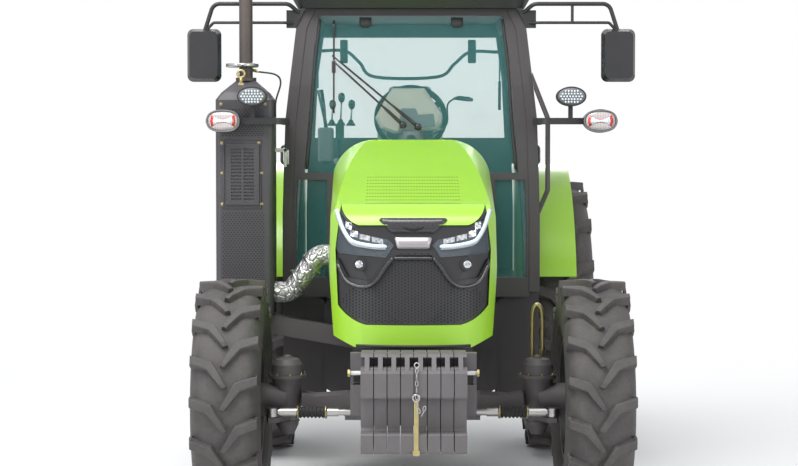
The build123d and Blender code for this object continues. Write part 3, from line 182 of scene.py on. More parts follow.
class Finish:
    """One node-based material and the means to build it."""
    made = {}

    def __init__(self, name):
        self.material = bpy.data.materials.new(name)
        self.material.use_nodes = True
        self.tree = self.material.node_tree
        self.tree.nodes.clear()
        self.coords = Value(self.tree, self.node("ShaderNodeTexCoord").outputs["Object"])

    def node(self, kind, settings=None, **sockets):
        """Add a node: settings first, then values or links of its sockets by name."""
        node = self.tree.nodes.new(kind)
        for key, item in (settings or {}).items():
            if key == "stops":
                ramp = node.color_ramp
                while len(ramp.elements) < len(item):
                    ramp.elements.new(0.5)
                for element, (place, rgb) in zip(ramp.elements, item):
                    element.position = place
                    element.color = (*rgb, 1) if len(rgb) == 3 else rgb
            else:
                setattr(node, key, item)
        for key, item in sockets.items():
            slot = node.inputs[key.replace("_", " ")]
            if isinstance(item, Value):
                self.tree.links.new(item.socket, slot)
            else:
                slot.default_value = (*item, 1) if slot.type == "RGBA" and len(item) == 3 else item
        return node

    def noise(self, scale, detail=3.0, stretch=(1, 1, 1), roughness=0.55):
        """Noise on object coordinates, scale in features per metre."""
        place = self.node("ShaderNodeMapping", Vector=self.coords, Scale=stretch)
        tex = self.node("ShaderNodeTexNoise", Vector=Value(self.tree, place.outputs[0]), Scale=scale,
                        Detail=detail, Roughness=roughness)
        return Value(self.tree, tex.outputs[0])

    def cells(self, scale, feature="F1"):
        """Distance within a pattern of cells, scale in cells per metre."""
        tex = self.node("ShaderNodeTexVoronoi", {"feature": feature}, Vector=self.coords, Scale=scale)
        return Value(self.tree, tex.outputs["Distance"])

    def axis(self, name):
        """One object coordinate, in metres."""
        split = self.node("ShaderNodeSeparateXYZ", Vector=self.coords)
        return Value(self.tree, split.outputs[name])

    def ribs(self, name, pitch):
        """A wave along one axis, between -1 and 1."""
        return (self.axis(name) * pitch).math("SINE")

    def facing_up(self):
        """1 on level faces that look up, 0 on upright ones."""
        geometry = self.node("ShaderNodeNewGeometry")
        split = self.node("ShaderNodeSeparateXYZ",
                          Vector=Value(self.tree, geometry.outputs["Normal"]))
        return Value(self.tree, split.outputs["Z"])

    def ramp(self, value, low, high):
        """0 below low, 1 above high."""
        node = self.node("ShaderNodeMapRange", {"interpolation_type": "SMOOTHSTEP"}, Value=value,
                         From_Min=low, From_Max=high)
        return Value(self.tree, node.outputs[0])

    def blend(self, factor, first, second):
        """Mix two colours, each a triple or a colour socket."""
        node = self.node("ShaderNodeMix", {"data_type": "RGBA"})
        for slot, item in ((node.inputs[0], factor), (node.inputs[6], first), (node.inputs[7], second)):
            if isinstance(item, Value):
                self.tree.links.new(item.socket, slot)
            else:
                slot.default_value = (*item, 1) if slot.type == "RGBA" else item
        return Value(self.tree, node.outputs[2])

    def bump(self, height, strength, distance):
        """A normal bent by a height."""
        node = self.node("ShaderNodeBump", Height=height, Strength=strength, Distance=distance)
        return Value(self.tree, node.outputs[0])

    def surface(self, **sockets):
        """Close the material with its surface shader."""
        shader = self.node("ShaderNodeBsdfPrincipled", None, **sockets)
        output = self.node("ShaderNodeOutputMaterial")
        self.tree.links.new(shader.outputs[0], output.inputs[0])
        return self.material


def finish(maker):
    """Make each material once, on first use, under its function's name."""
    def fetch():
        name = maker.__name__
        if name not in Finish.made:
            Finish.made[name] = maker(Finish(name), bpy.context.scene.tractor_finishes)
        return Finish.made[name]
    fetch.__name__ = maker.__name__
    return fetch


def scaled(rgb, factor):
    """A colour made darker or lighter."""
    return tuple(min(1.0, c * factor) for c in rgb)


def gloss_paint(f, rgb, dust):
    """Sprayed gloss paint with orange peel, slight shade changes and settled dust."""
    cloud = f.noise(3.0, 4.0)
    peel = f.noise(420.0, 2.0)
    settled = (f.ramp(f.noise(9.0, 6.0), 0.45, 0.8) * f.ramp(f.facing_up(), 0.5, 0.98)) * 0.14
    shade = f.blend(cloud, scaled(rgb, 0.93), scaled(rgb, 1.05))
    return f.surface(Base_Color=f.blend(settled, shade, dust), Roughness=0.26 + f.noise(30.0) * 0.10,
                     Coat_Weight=0.4 - settled * 1.5, Coat_Roughness=0.16,
                     Normal=f.bump(peel, 0.10, 0.0006))


def satin_paint(f, rgb, dust, rough=0.42, dusty=0.25, grain=240.0):
    """Satin paint on rolled or cast steel, rubbed lighter in places and dusty on ledges."""
    cloud = f.noise(5.0, 5.0)
    settled = f.ramp(f.noise(14.0, 6.0), 0.42, 0.78) * (f.ramp(f.facing_up(), 0.2, 0.95) + 0.15) * dusty
    shade = f.blend(cloud, scaled(rgb, 0.82), scaled(rgb, 1.22))
    return f.surface(Base_Color=f.blend(settled.clamped(), shade, dust),
                     Roughness=rough + f.noise(22.0, 4.0) * 0.18,
                     Normal=f.bump(f.noise(grain, 3.0), 0.16, 0.0008))


def grained_plastic(f, first, second, grain, cloud, rough, vary, depth=0.1, fine=0.0004):
    """Moulded plastic with a fine grain and a slow change of shade."""
    shade = f.noise(cloud, 4.0)
    return f.surface(Base_Color=f.blend(shade, first, second), Roughness=rough + shade * vary,
                     Normal=f.bump(f.cells(grain), depth, fine))


def coloured_lens(f, first, second, grid):
    """Coloured lamp lens with a pattern of small cells."""
    cell = f.cells(grid)
    return f.surface(Base_Color=f.blend(cell, first, second), Roughness=0.15 + cell * 0.1,
                     Coat_Weight=0.6, Normal=f.bump(cell, 0.3, 0.001))


@finish
def lime_paint(f, c):
    return gloss_paint(f, c.lime, c.dust)


@finish
def frame_paint(f, c):
    return satin_paint(f, c.frame_dark, c.dust, 0.34, 0.12)


@finish
def column_paint(f, c):
    return satin_paint(f, c.column_dark, c.dust, 0.40, 0.2)


@finish
def rim_paint(f, c):
    return satin_paint(f, c.rim, c.dust, 0.42, 0.45)


@finish
def cast_iron_paint(f, c):
    return satin_paint(f, c.iron, c.dust, 0.48, 0.35, 150.0)


@finish
def weight_paint(f, c):
    return satin_paint(f, c.weight_grey, c.dust, 0.55, 0.35, 170.0)


@finish
def black_plastic(f, c):
    grain = f.cells(900.0)
    faded = f.noise(6.0, 4.0)
    shade = f.blend(faded, scaled(c.plastic, 0.8), scaled(c.plastic, 1.35))
    return f.surface(Base_Color=shade, Roughness=0.36 + f.noise(35.0) * 0.14,
                     Normal=f.bump(grain, 0.10, 0.0004))


@finish
def gloss_plastic(f, c):
    smear = f.noise(12.0, 5.0)
    return f.surface(Base_Color=f.blend(smear, scaled(c.plastic, 0.6), scaled(c.plastic, 1.2)),
                     Roughness=0.12 + smear * 0.12, Coat_Weight=0.4, Coat_Roughness=0.05)


@finish
def tyre_rubber(f, c):
    """Dusty tread rubber: dust lies in random patches over the tyre."""
    dirt = f.ramp(f.noise(11.0, 8.0, roughness=0.7), 0.36, 0.72)
    streak = f.noise(60.0, 5.0)
    shade = f.blend(streak, scaled(c.rubber, 0.72), scaled(c.rubber, 1.25))
    return f.surface(Base_Color=f.blend(dirt * 0.30, shade, c.dust), Roughness=0.62 + dirt * 0.2,
                     Normal=f.bump(f.noise(260.0, 4.0) + f.noise(45.0, 3.0) * 0.6, 0.30, 0.0016))


@finish
def bare_steel(f, c):
    brushed = f.noise(35.0, 3.0, (1, 14, 14))
    return f.surface(Base_Color=f.blend(brushed, scaled(c.steel, 0.75), c.steel), Metallic=1.0,
                     Roughness=0.24 + brushed * 0.16, Normal=f.bump(brushed, 0.08, 0.0004))


@finish
def zinc_plate(f, c):
    spangle = f.noise(40.0, 4.0)
    return f.surface(Base_Color=f.blend(spangle, scaled(c.zinc, 0.6), c.zinc), Metallic=0.85,
                     Roughness=0.30 + spangle * 0.2, Normal=f.bump(f.noise(300.0), 0.1, 0.0004))


@finish
def heat_foil(f, c):
    """Crinkled foil wrap over the hot pipe."""
    crease = f.cells(26.0, "DISTANCE_TO_EDGE")
    ripple = f.noise(55.0, 5.0)
    return f.surface(Base_Color=f.blend(ripple, scaled(c.foil, 0.62), scaled(c.foil, 1.15)), Metallic=0.9,
                     Roughness=0.26 + ripple * 0.22,
                     Normal=f.bump(f.ramp(crease, 0.0, 0.22) * 0.6 + ripple, 0.9, 0.010))


@finish
def burnt_steel(f, c):
    heat = f.noise(7.0, 4.0)
    return f.surface(Base_Color=f.blend(heat, (0.045, 0.040, 0.042), (0.13, 0.105, 0.095)), Metallic=0.5,
                     Roughness=0.45 + heat * 0.2, Normal=f.bump(f.noise(200.0), 0.12, 0.0006))


@finish
def cab_glass(f, c):
    smear = f.ramp(f.noise(4.0, 6.0), 0.5, 0.85)
    return f.surface(Base_Color=c.glass[:], Roughness=0.04 + smear * 0.05, Alpha=0.12 + smear * 0.03,
                     Specular_IOR_Level=0.8)


@finish
def lamp_glass(f, c):
    flute = f.ribs("X", 900.0)
    return f.surface(Base_Color=(0.14, 0.17, 0.20), Roughness=0.05, Alpha=0.42 + flute * 0.02,
                     Specular_IOR_Level=0.9, Normal=f.bump(flute, 0.05, 0.0006))


@finish
def seat_fabric(f, c):
    weave = f.ribs("X", 1400.0) * f.ribs("Z", 1400.0)
    fuzz = f.noise(160.0, 4.0)
    return f.surface(Base_Color=f.blend(fuzz, scaled(c.seat_cloth, 0.7), scaled(c.seat_cloth, 1.5)),
                     Roughness=0.85 + fuzz * 0.1, Sheen_Weight=0.35,
                     Normal=f.bump(weave + fuzz, 0.30, 0.0008))


@finish
def mask_plastic(f, c):
    """Gloss black mouldings of the mask."""
    swirl = f.noise(9.0, 5.0)
    return f.surface(Base_Color=f.blend(swirl, scaled(c.plastic, 0.7), scaled(c.plastic, 1.5)),
                     Roughness=0.20 + f.noise(26.0, 4.0) * 0.16, Coat_Weight=0.5, Coat_Roughness=0.1,
                     Normal=f.bump(f.noise(500.0), 0.06, 0.0004))


@finish
def silver_trim(f, c):
    brushed = f.noise(30.0, 3.0, (1, 12, 30))
    return f.surface(Base_Color=f.blend(brushed, (0.28, 0.27, 0.28), (0.52, 0.50, 0.51)), Metallic=0.7,
                     Roughness=0.26 + brushed * 0.14, Normal=f.bump(brushed, 0.06, 0.0003))


@finish
def lamp_white(f, c):
    """Daylight strip behind its lens."""
    step = f.ribs("X", 620.0)
    return f.surface(Base_Color=f.blend(step * 0.5 + 0.5, (0.55, 0.72, 0.86), (0.83, 0.92, 0.97)),
                     Roughness=0.18 + step * 0.03, Coat_Weight=0.6)


@finish
def reflector(f, c):
    facet = f.cells(70.0)
    return f.surface(Base_Color=f.blend(facet, (0.30, 0.32, 0.35), (0.85, 0.87, 0.90)), Metallic=0.9,
                     Roughness=0.12 + facet * 0.2, Normal=f.bump(facet, 0.5, 0.004))


@finish
def lamp_red(f, c):
    return coloured_lens(f, (0.42, 0.015, 0.012), (0.75, 0.05, 0.035), 260.0)


@finish
def lamp_amber(f, c):
    return coloured_lens(f, (0.62, 0.20, 0.02), (0.90, 0.40, 0.06), 240.0)


@finish
def seal_rubber(f, c):
    fine = f.noise(90.0, 4.0)
    return f.surface(Base_Color=f.blend(fine, (0.016, 0.016, 0.017), (0.034, 0.033, 0.034)),
                     Roughness=0.55 + fine * 0.2, Normal=f.bump(fine, 0.15, 0.0005))


@finish
def beige_plastic(f, c):
    return grained_plastic(f, (0.46, 0.41, 0.34), (0.58, 0.53, 0.45), 1100.0, 7.0, 0.5, 0.12)


@finish
def grey_plastic(f, c):
    return grained_plastic(f, (0.13, 0.128, 0.135), (0.19, 0.187, 0.195), 1000.0, 6.0, 0.42, 0.15)


@finish
def white_coat(f, c):
    chip = f.ramp(f.noise(40.0, 5.0), 0.62, 0.74)
    return f.surface(Base_Color=f.blend(chip, (0.66, 0.66, 0.65), (0.30, 0.29, 0.28)),
                     Roughness=0.4 + chip * 0.2, Normal=f.bump(chip, 0.1, 0.0004))


@finish
def dark_hole(f, c):
    """Painted shade: near-black colour standing in for the shaded inside of holes and slots, with a faint
    random speckle.
    """
    shade_speckle = f.noise(50.0, 3.0)
    return f.surface(Base_Color=f.blend(shade_speckle, (0.004, 0.004, 0.004), (0.012, 0.012, 0.012)),
                     Roughness=0.8 + shade_speckle * 0.1)


@finish
def mirror_glass(f, c):
    smear = f.ramp(f.noise(8.0, 5.0), 0.5, 0.9)
    return f.surface(Base_Color=f.blend(smear, (0.80, 0.83, 0.85), (0.66, 0.68, 0.70)), Metallic=1.0,
                     Roughness=0.02 + smear * 0.06)


@finish
def seat_vinyl(f, c):
    return grained_plastic(f, scaled(c.seat_edge, 0.85), scaled(c.seat_edge, 1.1), 700.0, 9.0, 0.5, 0.12,
                           0.2, 0.0006)


@finish
def clear_lens(f, c):
    """Pale ribbed lens of a turn lamp."""
    rib = f.ribs("X", 700.0)
    return f.surface(Base_Color=f.blend(rib * 0.5 + 0.5, (0.40, 0.36, 0.36), (0.62, 0.57, 0.56)),
                     Roughness=0.16 + rib * 0.03, Coat_Weight=0.7, Normal=f.bump(rib, 0.15, 0.0006))


# which finish each frame node wears
NODE_FINISH = {
    "lime_paint": lime_paint, "black_paint": frame_paint, "black_plastic": black_plastic,
    "lamp_lens": lamp_glass, "cab_glass": cab_glass, "tyre_rubber": tyre_rubber, "rim_paint": rim_paint,
    "cast_grey": cast_iron_paint, "bare_steel": bare_steel, "heat_foil": heat_foil,
    "seat_cloth": seat_fabric,
}
SPECIAL_FINISH = {
    "aftertreatment_box": column_paint, "front_weights": weight_paint, "weight_carrier": weight_paint,
    "exhaust_stack": burnt_steel, "engine_cowl": lime_paint,
}


# ---- making meshes --------------------------------------------------------------------------


def turns(number):
    """Angles that share out a full turn."""
    return [2 * math.pi * k / number for k in range(number)]


def rounded(width, height, power, number):
    """Outline about the origin with these half sizes: an oval at power 1, nearer a box below it."""
    def bent(part):
        return math.copysign(abs(part) ** power, part)
    return [(width * bent(math.cos(a)), height * bent(math.sin(a))) for a in turns(number)]


def placed(outline, x, z, wide=1.0, tall=1.0):
    """An outline about the origin, stretched and moved to a place."""
    return [(x + u * wide, z + v * tall) for u, v in outline]


def unit_frame(direction):
    """Two unit vectors square to a direction and to each other."""
    direction = Vector(direction).normalized()
    helper = Z if abs(direction.z) < 0.9 else X
    across = helper.cross(direction).normalized()
    return across, direction.cross(across)


class Shell:
    """A piece under construction; each form is added with the finish it wears."""

    def __init__(self):
        self.bm = bmesh.new()
        self.finishes = []

    def dress(self, faces, maker, smooth=False):
        if maker not in self.finishes:
            self.finishes.append(maker)
        for face in faces:
            face.material_index = self.finishes.index(maker)
            face.smooth = smooth

    def loft(self, rings, maker, caps=True, smooth=False):
        """Skin over rings of points, each ring with the same number of points."""
        verts = [[self.bm.verts.new(p) for p in ring] for ring in rings]
        faces = []
        sides = len(rings[0])
        for low, high in zip(verts, verts[1:]):
            for i in range(sides):
                j = (i + 1) % sides
                faces.append(self.bm.faces.new((low[i], low[j], high[j], high[i])))
        self.dress(faces, maker, smooth)
        if caps:
            ends = [self.bm.faces.new(verts[0][::-1]), self.bm.faces.new(verts[-1])]
            self.dress(ends, maker)
        return faces

    def box(self, low, high, maker, bevel=0.0, turn=None, steps=2):
        """A box with softened edges, turned about its own middle."""
        low, high = Vector(low), Vector(high)
        size = high - low
        place = Matrix.Translation((low + high) / 2)
        if turn is not None:
            place = place @ turn.to_4x4()
        made = bmesh.ops.create_cube(self.bm, size=1.0,
                                     matrix=place @ Matrix.Diagonal((*size, 1)))
        faces = {f for v in made["verts"] for f in v.link_faces}
        if bevel:
            edges = list({e for v in made["verts"] for e in v.link_edges})
            bevelled = bmesh.ops.bevel(self.bm, geom=edges, offset=bevel, segments=steps,
                                       affect="EDGES", profile=0.5)
            faces = {f for v in bevelled["verts"] for f in v.link_faces}
            faces |= {f for v in made["verts"] if v.is_valid for f in v.link_faces}
        self.dress(faces, maker)

    def tube(self, points, radius, maker, sides=12, flat=1.0):
        """A round bar along a path; radius is one number or one for each point."""
        points = [Vector(p) for p in points]
        radii = radius if isinstance(radius, (list, tuple)) else [radius] * len(points)
        rings = []
        across, up = unit_frame(points[1] - points[0])
        for i, (point, r) in enumerate(zip(points, radii)):
            ahead = points[min(i + 1, len(points) - 1)] - points[max(i - 1, 0)]
            ahead.normalize()
            across = (across - ahead * across.dot(ahead)).normalized()
            up = ahead.cross(across)
            rings.append([point + across * (math.cos(a) * r) + up * (math.sin(a) * r * flat)
                          for a in turns(sides)])
        self.loft(rings, maker, smooth=True)

    def lathe(self, centre, axis, profile, maker, sides=32, smooth=True, caps=True):
        """Turn a profile of (along, radius) about an axis."""
        across, up = unit_frame(axis)
        axis = Vector(axis).normalized()
        rings = [[Vector(centre) + axis * along + across * (math.cos(a) * r) + up * (math.sin(a) * r)
                  for a in turns(sides)]
                 for along, r in profile]
        self.loft(rings, maker, caps=caps, smooth=smooth)

    def loop(self, points, radius, normal, maker, around=8):
        """A closed round bar through points that lie flat across a normal."""
        normal = Vector(normal).normalized()
        rings = []
        for back, point, ahead in zip(points[-1:] + points[:-1], points, points[1:] + points[:1]):
            out = (ahead - back).cross(normal).normalized()
            rings.append([point + out * (radius * math.cos(a)) + normal * (radius * math.sin(a))
                          for a in turns(around)])
        self.loft(rings + rings[:1], maker, caps=False, smooth=True)

    def ring(self, centre, axis, radius, wire, maker, sides=40, around=8):
        """A closed round ring."""
        across, up = unit_frame(axis)
        points = [Vector(centre) + (across * math.cos(a) + up * math.sin(a)) * radius for a in turns(sides)]
        self.loop(points, wire, axis, maker, around)

    def prism(self, outline, depth, maker, bevel=0.0):
        """A flat outline of 3-D points given thickness along a vector, edges softened."""
        base = [self.bm.verts.new(p) for p in outline]
        face = self.bm.faces.new(base)
        made = bmesh.ops.extrude_face_region(self.bm, geom=[face])["geom"]
        top = [g for g in made if isinstance(g, bmesh.types.BMVert)]
        bmesh.ops.translate(self.bm, verts=top, vec=Vector(depth))
        faces = {f for v in base + top for f in v.link_faces}
        if bevel:
            edges = list({e for v in base + top for e in v.link_edges})
            made = bmesh.ops.bevel(self.bm, geom=edges, offset=bevel, segments=2, affect="EDGES",
                                   profile=0.5)
            faces = {f for v in made["verts"] for f in v.link_faces}
            faces |= {f for v in base + top if v.is_valid for f in v.link_faces}
        self.dress(faces, maker)

    def graft(self, mesh, maker, smooth=False):
        """Add another mesh whole."""
        before = set(self.bm.faces)
        self.bm.from_mesh(mesh)
        self.dress([f for f in self.bm.faces if f not in before], maker, smooth)

    def piece(self, name, body, slot, replaces=()):
        """Finish the mesh as an object that rides on a body: seams closed, faces outward."""
        bmesh.ops.remove_doubles(self.bm, verts=self.bm.verts[:], dist=1e-6)
        bmesh.ops.recalc_face_normals(self.bm, faces=self.bm.faces[:])
        mesh = bpy.data.meshes.new(name)
        self.bm.to_mesh(mesh)
        self.bm.free()
        for maker in self.finishes:
            mesh.materials.append(maker())
        thing = bpy.data.objects.new(name, mesh)
        bpy.context.scene.collection.objects.link(thing)
        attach(thing, body)
        if replaces:
            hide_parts(*replaces)
        return thing


def smooth_line(points, steps=6):
    """A rounded line through its points (Catmull-Rom)."""
    pts = [Vector(p) for p in points]
    pts = [2 * pts[0] - pts[1]] + pts + [2 * pts[-1] - pts[-2]]
    line = []
    for a, b, c, d in zip(pts, pts[1:], pts[2:], pts[3:]):
        for k in range(steps):
            t = k / steps
            line.append(0.5 * (2 * b + (c - a) * t + (2 * a - 5 * b + 4 * c - d) * t ** 2
                               + (3 * b - a - 3 * c + d) * t ** 3))
    return line + [pts[-2]]


FAR_OFF = 4.0  # lines that look for a skin start this far from the middle


class Skin:
    """The outer surface of some frame nodes, met along one direction."""

    def __init__(self, nodes, direction=Y):
        joined = bmesh.new()
        for node in nodes:
            joined.from_mesh(frame["nodes"][node].data)
        self.tree = BVHTree.FromBMesh(joined)
        joined.free()
        self.direction = Vector(direction)

    def cast(self, u, v):
        """Point and normal where a line along the direction first meets the skin, or None twice."""
        start = Vector((u, 0, v)) if abs(self.direction.y) > 0.5 else Vector((0, u, v))
        return self.tree.ray_cast(start - self.direction * FAR_OFF, self.direction)[:2]

    def at(self, u, v, fallback=None):
        """As cast, but with a set depth, or an error, where there is no skin."""
        place, normal = self.cast(u, v)
        if place is not None:
            return place, normal
        if fallback is None:
            raise ValueError(f"no skin at {u:.3f}, {v:.3f}")
        return Vector((u, fallback, v)), -self.direction

    def line(self, pairs, proud, side=1):
        """Points over the skin, standing proud of it."""
        return [self.at(side * u, v)[0] - self.direction * proud for u, v in pairs]

    def panel(self, shell, outline, maker, proud, wall, fallback=None, smooth=True, cell=0.03):
        """A sheet that follows the skin inside an outline, standing proud of it."""
        patch = bmesh.new()
        patch.faces.new([patch.verts.new((u, 0, v)) for u, v in outline])
        for values, normal in zip(zip(*outline), (X, Z)):
            low, high = min(values), max(values)
            cuts = int((high - low) / cell)
            for k in range(1, cuts + 1):
                place = low + k * (high - low) / (cuts + 1)
                geom = patch.verts[:] + patch.edges[:] + patch.faces[:]
                bmesh.ops.bisect_plane(patch, geom=geom, plane_co=normal * place, plane_no=normal)
        bmesh.ops.triangulate(patch, faces=[f for f in patch.faces if len(f.verts) > 4])
        for vert in patch.verts:
            place, normal = self.at(vert.co.x, vert.co.z, fallback)
            vert.co = place - self.direction * proud
        made = bmesh.ops.extrude_face_region(patch, geom=patch.faces[:])["geom"]
        moved = [g for g in made if isinstance(g, bmesh.types.BMVert)]
        bmesh.ops.translate(patch, verts=moved, vec=self.direction * wall)
        bmesh.ops.recalc_face_normals(patch, faces=patch.faces[:])
        mesh = bpy.data.meshes.new("patch")
        patch.to_mesh(mesh)
        patch.free()
        shell.graft(mesh, maker, smooth)
        bpy.data.meshes.remove(mesh)


# ---- repeats (Geometry Nodes) ----------------------------------------------------------------


class Repeat:
    """One Geometry Nodes tree that repeats its input mesh; built once, used with many settings."""
    trees = {}

    def __init__(self, name):
        self.tree = bpy.data.node_groups.new(name, "GeometryNodeTree")
        self.sockets = {}
        self.tree.interface.new_socket("Geometry", in_out="INPUT", socket_type="NodeSocketGeometry")
        self.tree.interface.new_socket("Geometry", in_out="OUTPUT", socket_type="NodeSocketGeometry")
        self.start = self.tree.nodes.new("NodeGroupInput")
        self.end = self.tree.nodes.new("NodeGroupOutput")

    def setting(self, label, kind, default=None):
        socket = self.tree.interface.new_socket(label, in_out="INPUT", socket_type="NodeSocket" + kind)
        if default is not None:
            socket.default_value = default
        self.sockets[label] = socket.identifier
        return Value(self.tree, self.start.outputs[label])

    def node(self, kind, settings=None, **sockets):
        node = self.tree.nodes.new(kind)
        for key, item in (settings or {}).items():
            setattr(node, key, item)
        for key, item in sockets.items():
            slot = node.inputs[key.replace("_", " ")]
            if isinstance(item, Value):
                self.tree.links.new(item.socket, slot)
            else:
                slot.default_value = item
        return node

    def out(self, node, name=0):
        return Value(self.tree, node.outputs[name])

    def finish(self, instances):
        """Every tree ends as real geometry with its material set."""
        real = self.node("GeometryNodeRealizeInstances", Geometry=instances)
        worn = self.node("GeometryNodeSetMaterial", Geometry=self.out(real),
                         Material=self.setting("Finish", "Material"))
        self.tree.links.new(worn.outputs[0], self.end.inputs[0])

    @classmethod
    def of(cls, kind):
        if kind not in cls.trees:
            cls.trees[kind] = REPEATS[kind]()
        return cls.trees[kind]


def repeat_round():
    """Copies turned evenly about an axis through a centre."""
    t = Repeat("repeat_round")
    number = t.setting("Count", "Int", 8)
    centre = t.setting("Centre", "Vector")
    axis = t.setting("Axis", "Vector")
    start = t.setting("Start", "Float", 0.0)
    index = t.out(t.node("GeometryNodeInputIndex"))
    points = t.out(t.node("GeometryNodePoints", Count=number, Position=centre))
    turn = index * (2 * math.pi) / number + start
    rotation = t.node("FunctionNodeAxisAngleToRotation", Axis=axis, Angle=turn)
    made = t.node("GeometryNodeInstanceOnPoints", Points=points, Instance=t.out(t.start, "Geometry"),
                  Rotation=t.out(rotation))
    t.finish(t.out(made))
    return t


def repeat_rows():
    """Copies in rows and columns."""
    t = Repeat("repeat_rows")
    columns = t.setting("Columns", "Int", 4)
    rows = t.setting("Rows", "Int", 1)
    start = t.setting("Start", "Vector")
    along = t.setting("Column Step", "Vector")
    up = t.setting("Row Step", "Vector")
    index = t.out(t.node("GeometryNodeInputIndex"))
    row = (index / columns).math("FLOOR")
    column = index - row * columns
    step_a = t.node("ShaderNodeVectorMath", {"operation": "SCALE"}, Vector=along, Scale=column)
    step_b = t.node("ShaderNodeVectorMath", {"operation": "SCALE"}, Vector=up, Scale=row)
    place = t.node("ShaderNodeVectorMath", {"operation": "ADD"})
    t.tree.links.new(step_a.outputs[0], place.inputs[0])
    t.tree.links.new(step_b.outputs[0], place.inputs[1])
    total = t.node("ShaderNodeVectorMath", {"operation": "ADD"})
    t.tree.links.new(place.outputs[0], total.inputs[0])
    t.tree.links.new(start.socket, total.inputs[1])
    points = t.out(t.node("GeometryNodePoints", Count=columns * rows, Position=t.out(total)))
    made = t.node("GeometryNodeInstanceOnPoints", Points=points, Instance=t.out(t.start, "Geometry"))
    t.finish(t.out(made))
    return t


def repeat_studs():
    """A short round or many-sided stud at every point of the input, square to its normal."""
    t = Repeat("repeat_studs")
    radius = t.setting("Radius", "Float", 0.004)
    depth = t.setting("Depth", "Float", 0.004)
    sides = t.setting("Sides", "Int", 8)
    stud = t.node("GeometryNodeMeshCylinder", Vertices=sides, Radius=radius, Depth=depth)
    points = t.node("GeometryNodeMeshToPoints", Mesh=t.out(t.start, "Geometry"))
    facing = t.node("GeometryNodeInputNamedAttribute", {"data_type": "FLOAT_VECTOR"}, Name="facing")
    rotation = t.node("FunctionNodeAlignRotationToVector", {"axis": "Z"}, Vector=t.out(facing))
    made = t.node("GeometryNodeInstanceOnPoints", Points=t.out(points), Instance=t.out(stud),
                  Rotation=t.out(rotation))
    t.finish(t.out(made))
    return t


REPEATS = {"round": repeat_round, "rows": repeat_rows, "studs": repeat_studs}


def repeated(mesh, kind, maker, **settings):
    """Plain mesh of a form after a repeat; the form itself is used up."""
    repeat = Repeat.of(kind)
    holder = bpy.data.objects.new("form", mesh)
    bpy.context.scene.collection.objects.link(holder)
    modifier = holder.modifiers.new("repeat", "NODES")
    modifier.node_group = repeat.tree
    for label, item in dict(settings, Finish=maker()).items():
        modifier[repeat.sockets[label.replace("_", " ")]] = item
    graph = bpy.context.evaluated_depsgraph_get()
    graph.update()
    result = bpy.data.meshes.new_from_object(holder.evaluated_get(graph))
    holder.modifiers.clear()
    bpy.data.objects.remove(holder)
    bpy.data.meshes.remove(mesh)
    return result


def form_mesh(build):
    """Mesh made by drawing on a fresh shell."""
    shell = Shell()
    build(shell)
    bmesh.ops.recalc_face_normals(shell.bm, faces=shell.bm.faces[:])
    mesh = bpy.data.meshes.new("form")
    shell.bm.to_mesh(mesh)
    shell.bm.free()
    return mesh


def cloud_mesh(places):
    """Bare points with the direction each one faces."""
    mesh = bpy.data.meshes.new("cloud")
    mesh.from_pydata([p for p, n in places], [], [])
    facing = mesh.attributes.new("facing", "FLOAT_VECTOR", "POINT")
    facing.data.foreach_set("vector", np.array([tuple(n) for p, n in places], dtype=np.float32).ravel())
    return mesh


def add_round(shell, build, maker, centre, axis, number, start=0.0):
    """Add a form turned evenly about an axis; it is drawn relative to the centre."""
    mesh = repeated(form_mesh(build), "round", maker, Count=number, Centre=tuple(centre), Axis=tuple(axis),
                    Start=start)
    shell.graft(mesh, maker)
    bpy.data.meshes.remove(mesh)


def add_rows(shell, build, maker, start, column_step, columns, row_step, rows):
    """Add a form in rows and columns; it is drawn about the origin."""
    mesh = repeated(form_mesh(build), "rows", maker, Columns=columns, Rows=rows, Start=tuple(start),
                    Column_Step=tuple(column_step), Row_Step=tuple(row_step))
    shell.graft(mesh, maker)
    bpy.data.meshes.remove(mesh)


def add_studs(shell, places, maker, radius, depth, sides=8):
    """Add a stud at each (place, normal)."""
    mesh = repeated(cloud_mesh(places), "studs", maker, Radius=radius, Depth=depth, Sides=sides)
    shell.graft(mesh, maker)
    bpy.data.meshes.remove(mesh)


def hex_bolt(size, height, axis, place, maker):
    """Drawing of a bolt: washer, hexagonal head and thread end, about the origin."""
    def build(shell):
        shell.lathe(place, axis, [(0, size * 0.95), (height * 0.25, size * 0.95)], maker, 16, False)
        shell.lathe(place, axis, [(height * 0.25, size * 0.62), (height * 0.9, size * 0.62),
                                  (height, size * 0.5)], maker, 6, False)
        shell.lathe(place, axis, [(height, size * 0.3), (height * 1.35, size * 0.3),
                                  (height * 1.45, size * 0.22)], maker, 10, False)
    return build


def inside(outline, u, v):
    """Whether a point lies in a closed outline."""
    found = False
    for (a, b), (c, d) in zip(outline, outline[1:] + outline[:1]):
        if (b > v) != (d > v) and u < (c - a) * (v - b) / (d - b) + a:
            found = not found
    return found


class TRACTOR_OT_finishes(bpy.types.Operator):
    """Give every frame node its material"""
    bl_idname = "tractor.finishes"
    bl_label = "Finishes"

    def execute(self, context):
        slots = {row["node"]: row.get("material_slot") for row in frame["record"]["subparts"]}
        for name, node in frame["nodes"].items():
            maker = SPECIAL_FINISH.get(name) or NODE_FINISH[slots[name]]
            node.data.materials.clear()
            node.data.materials.append(maker())
        return {"FINISHED"}


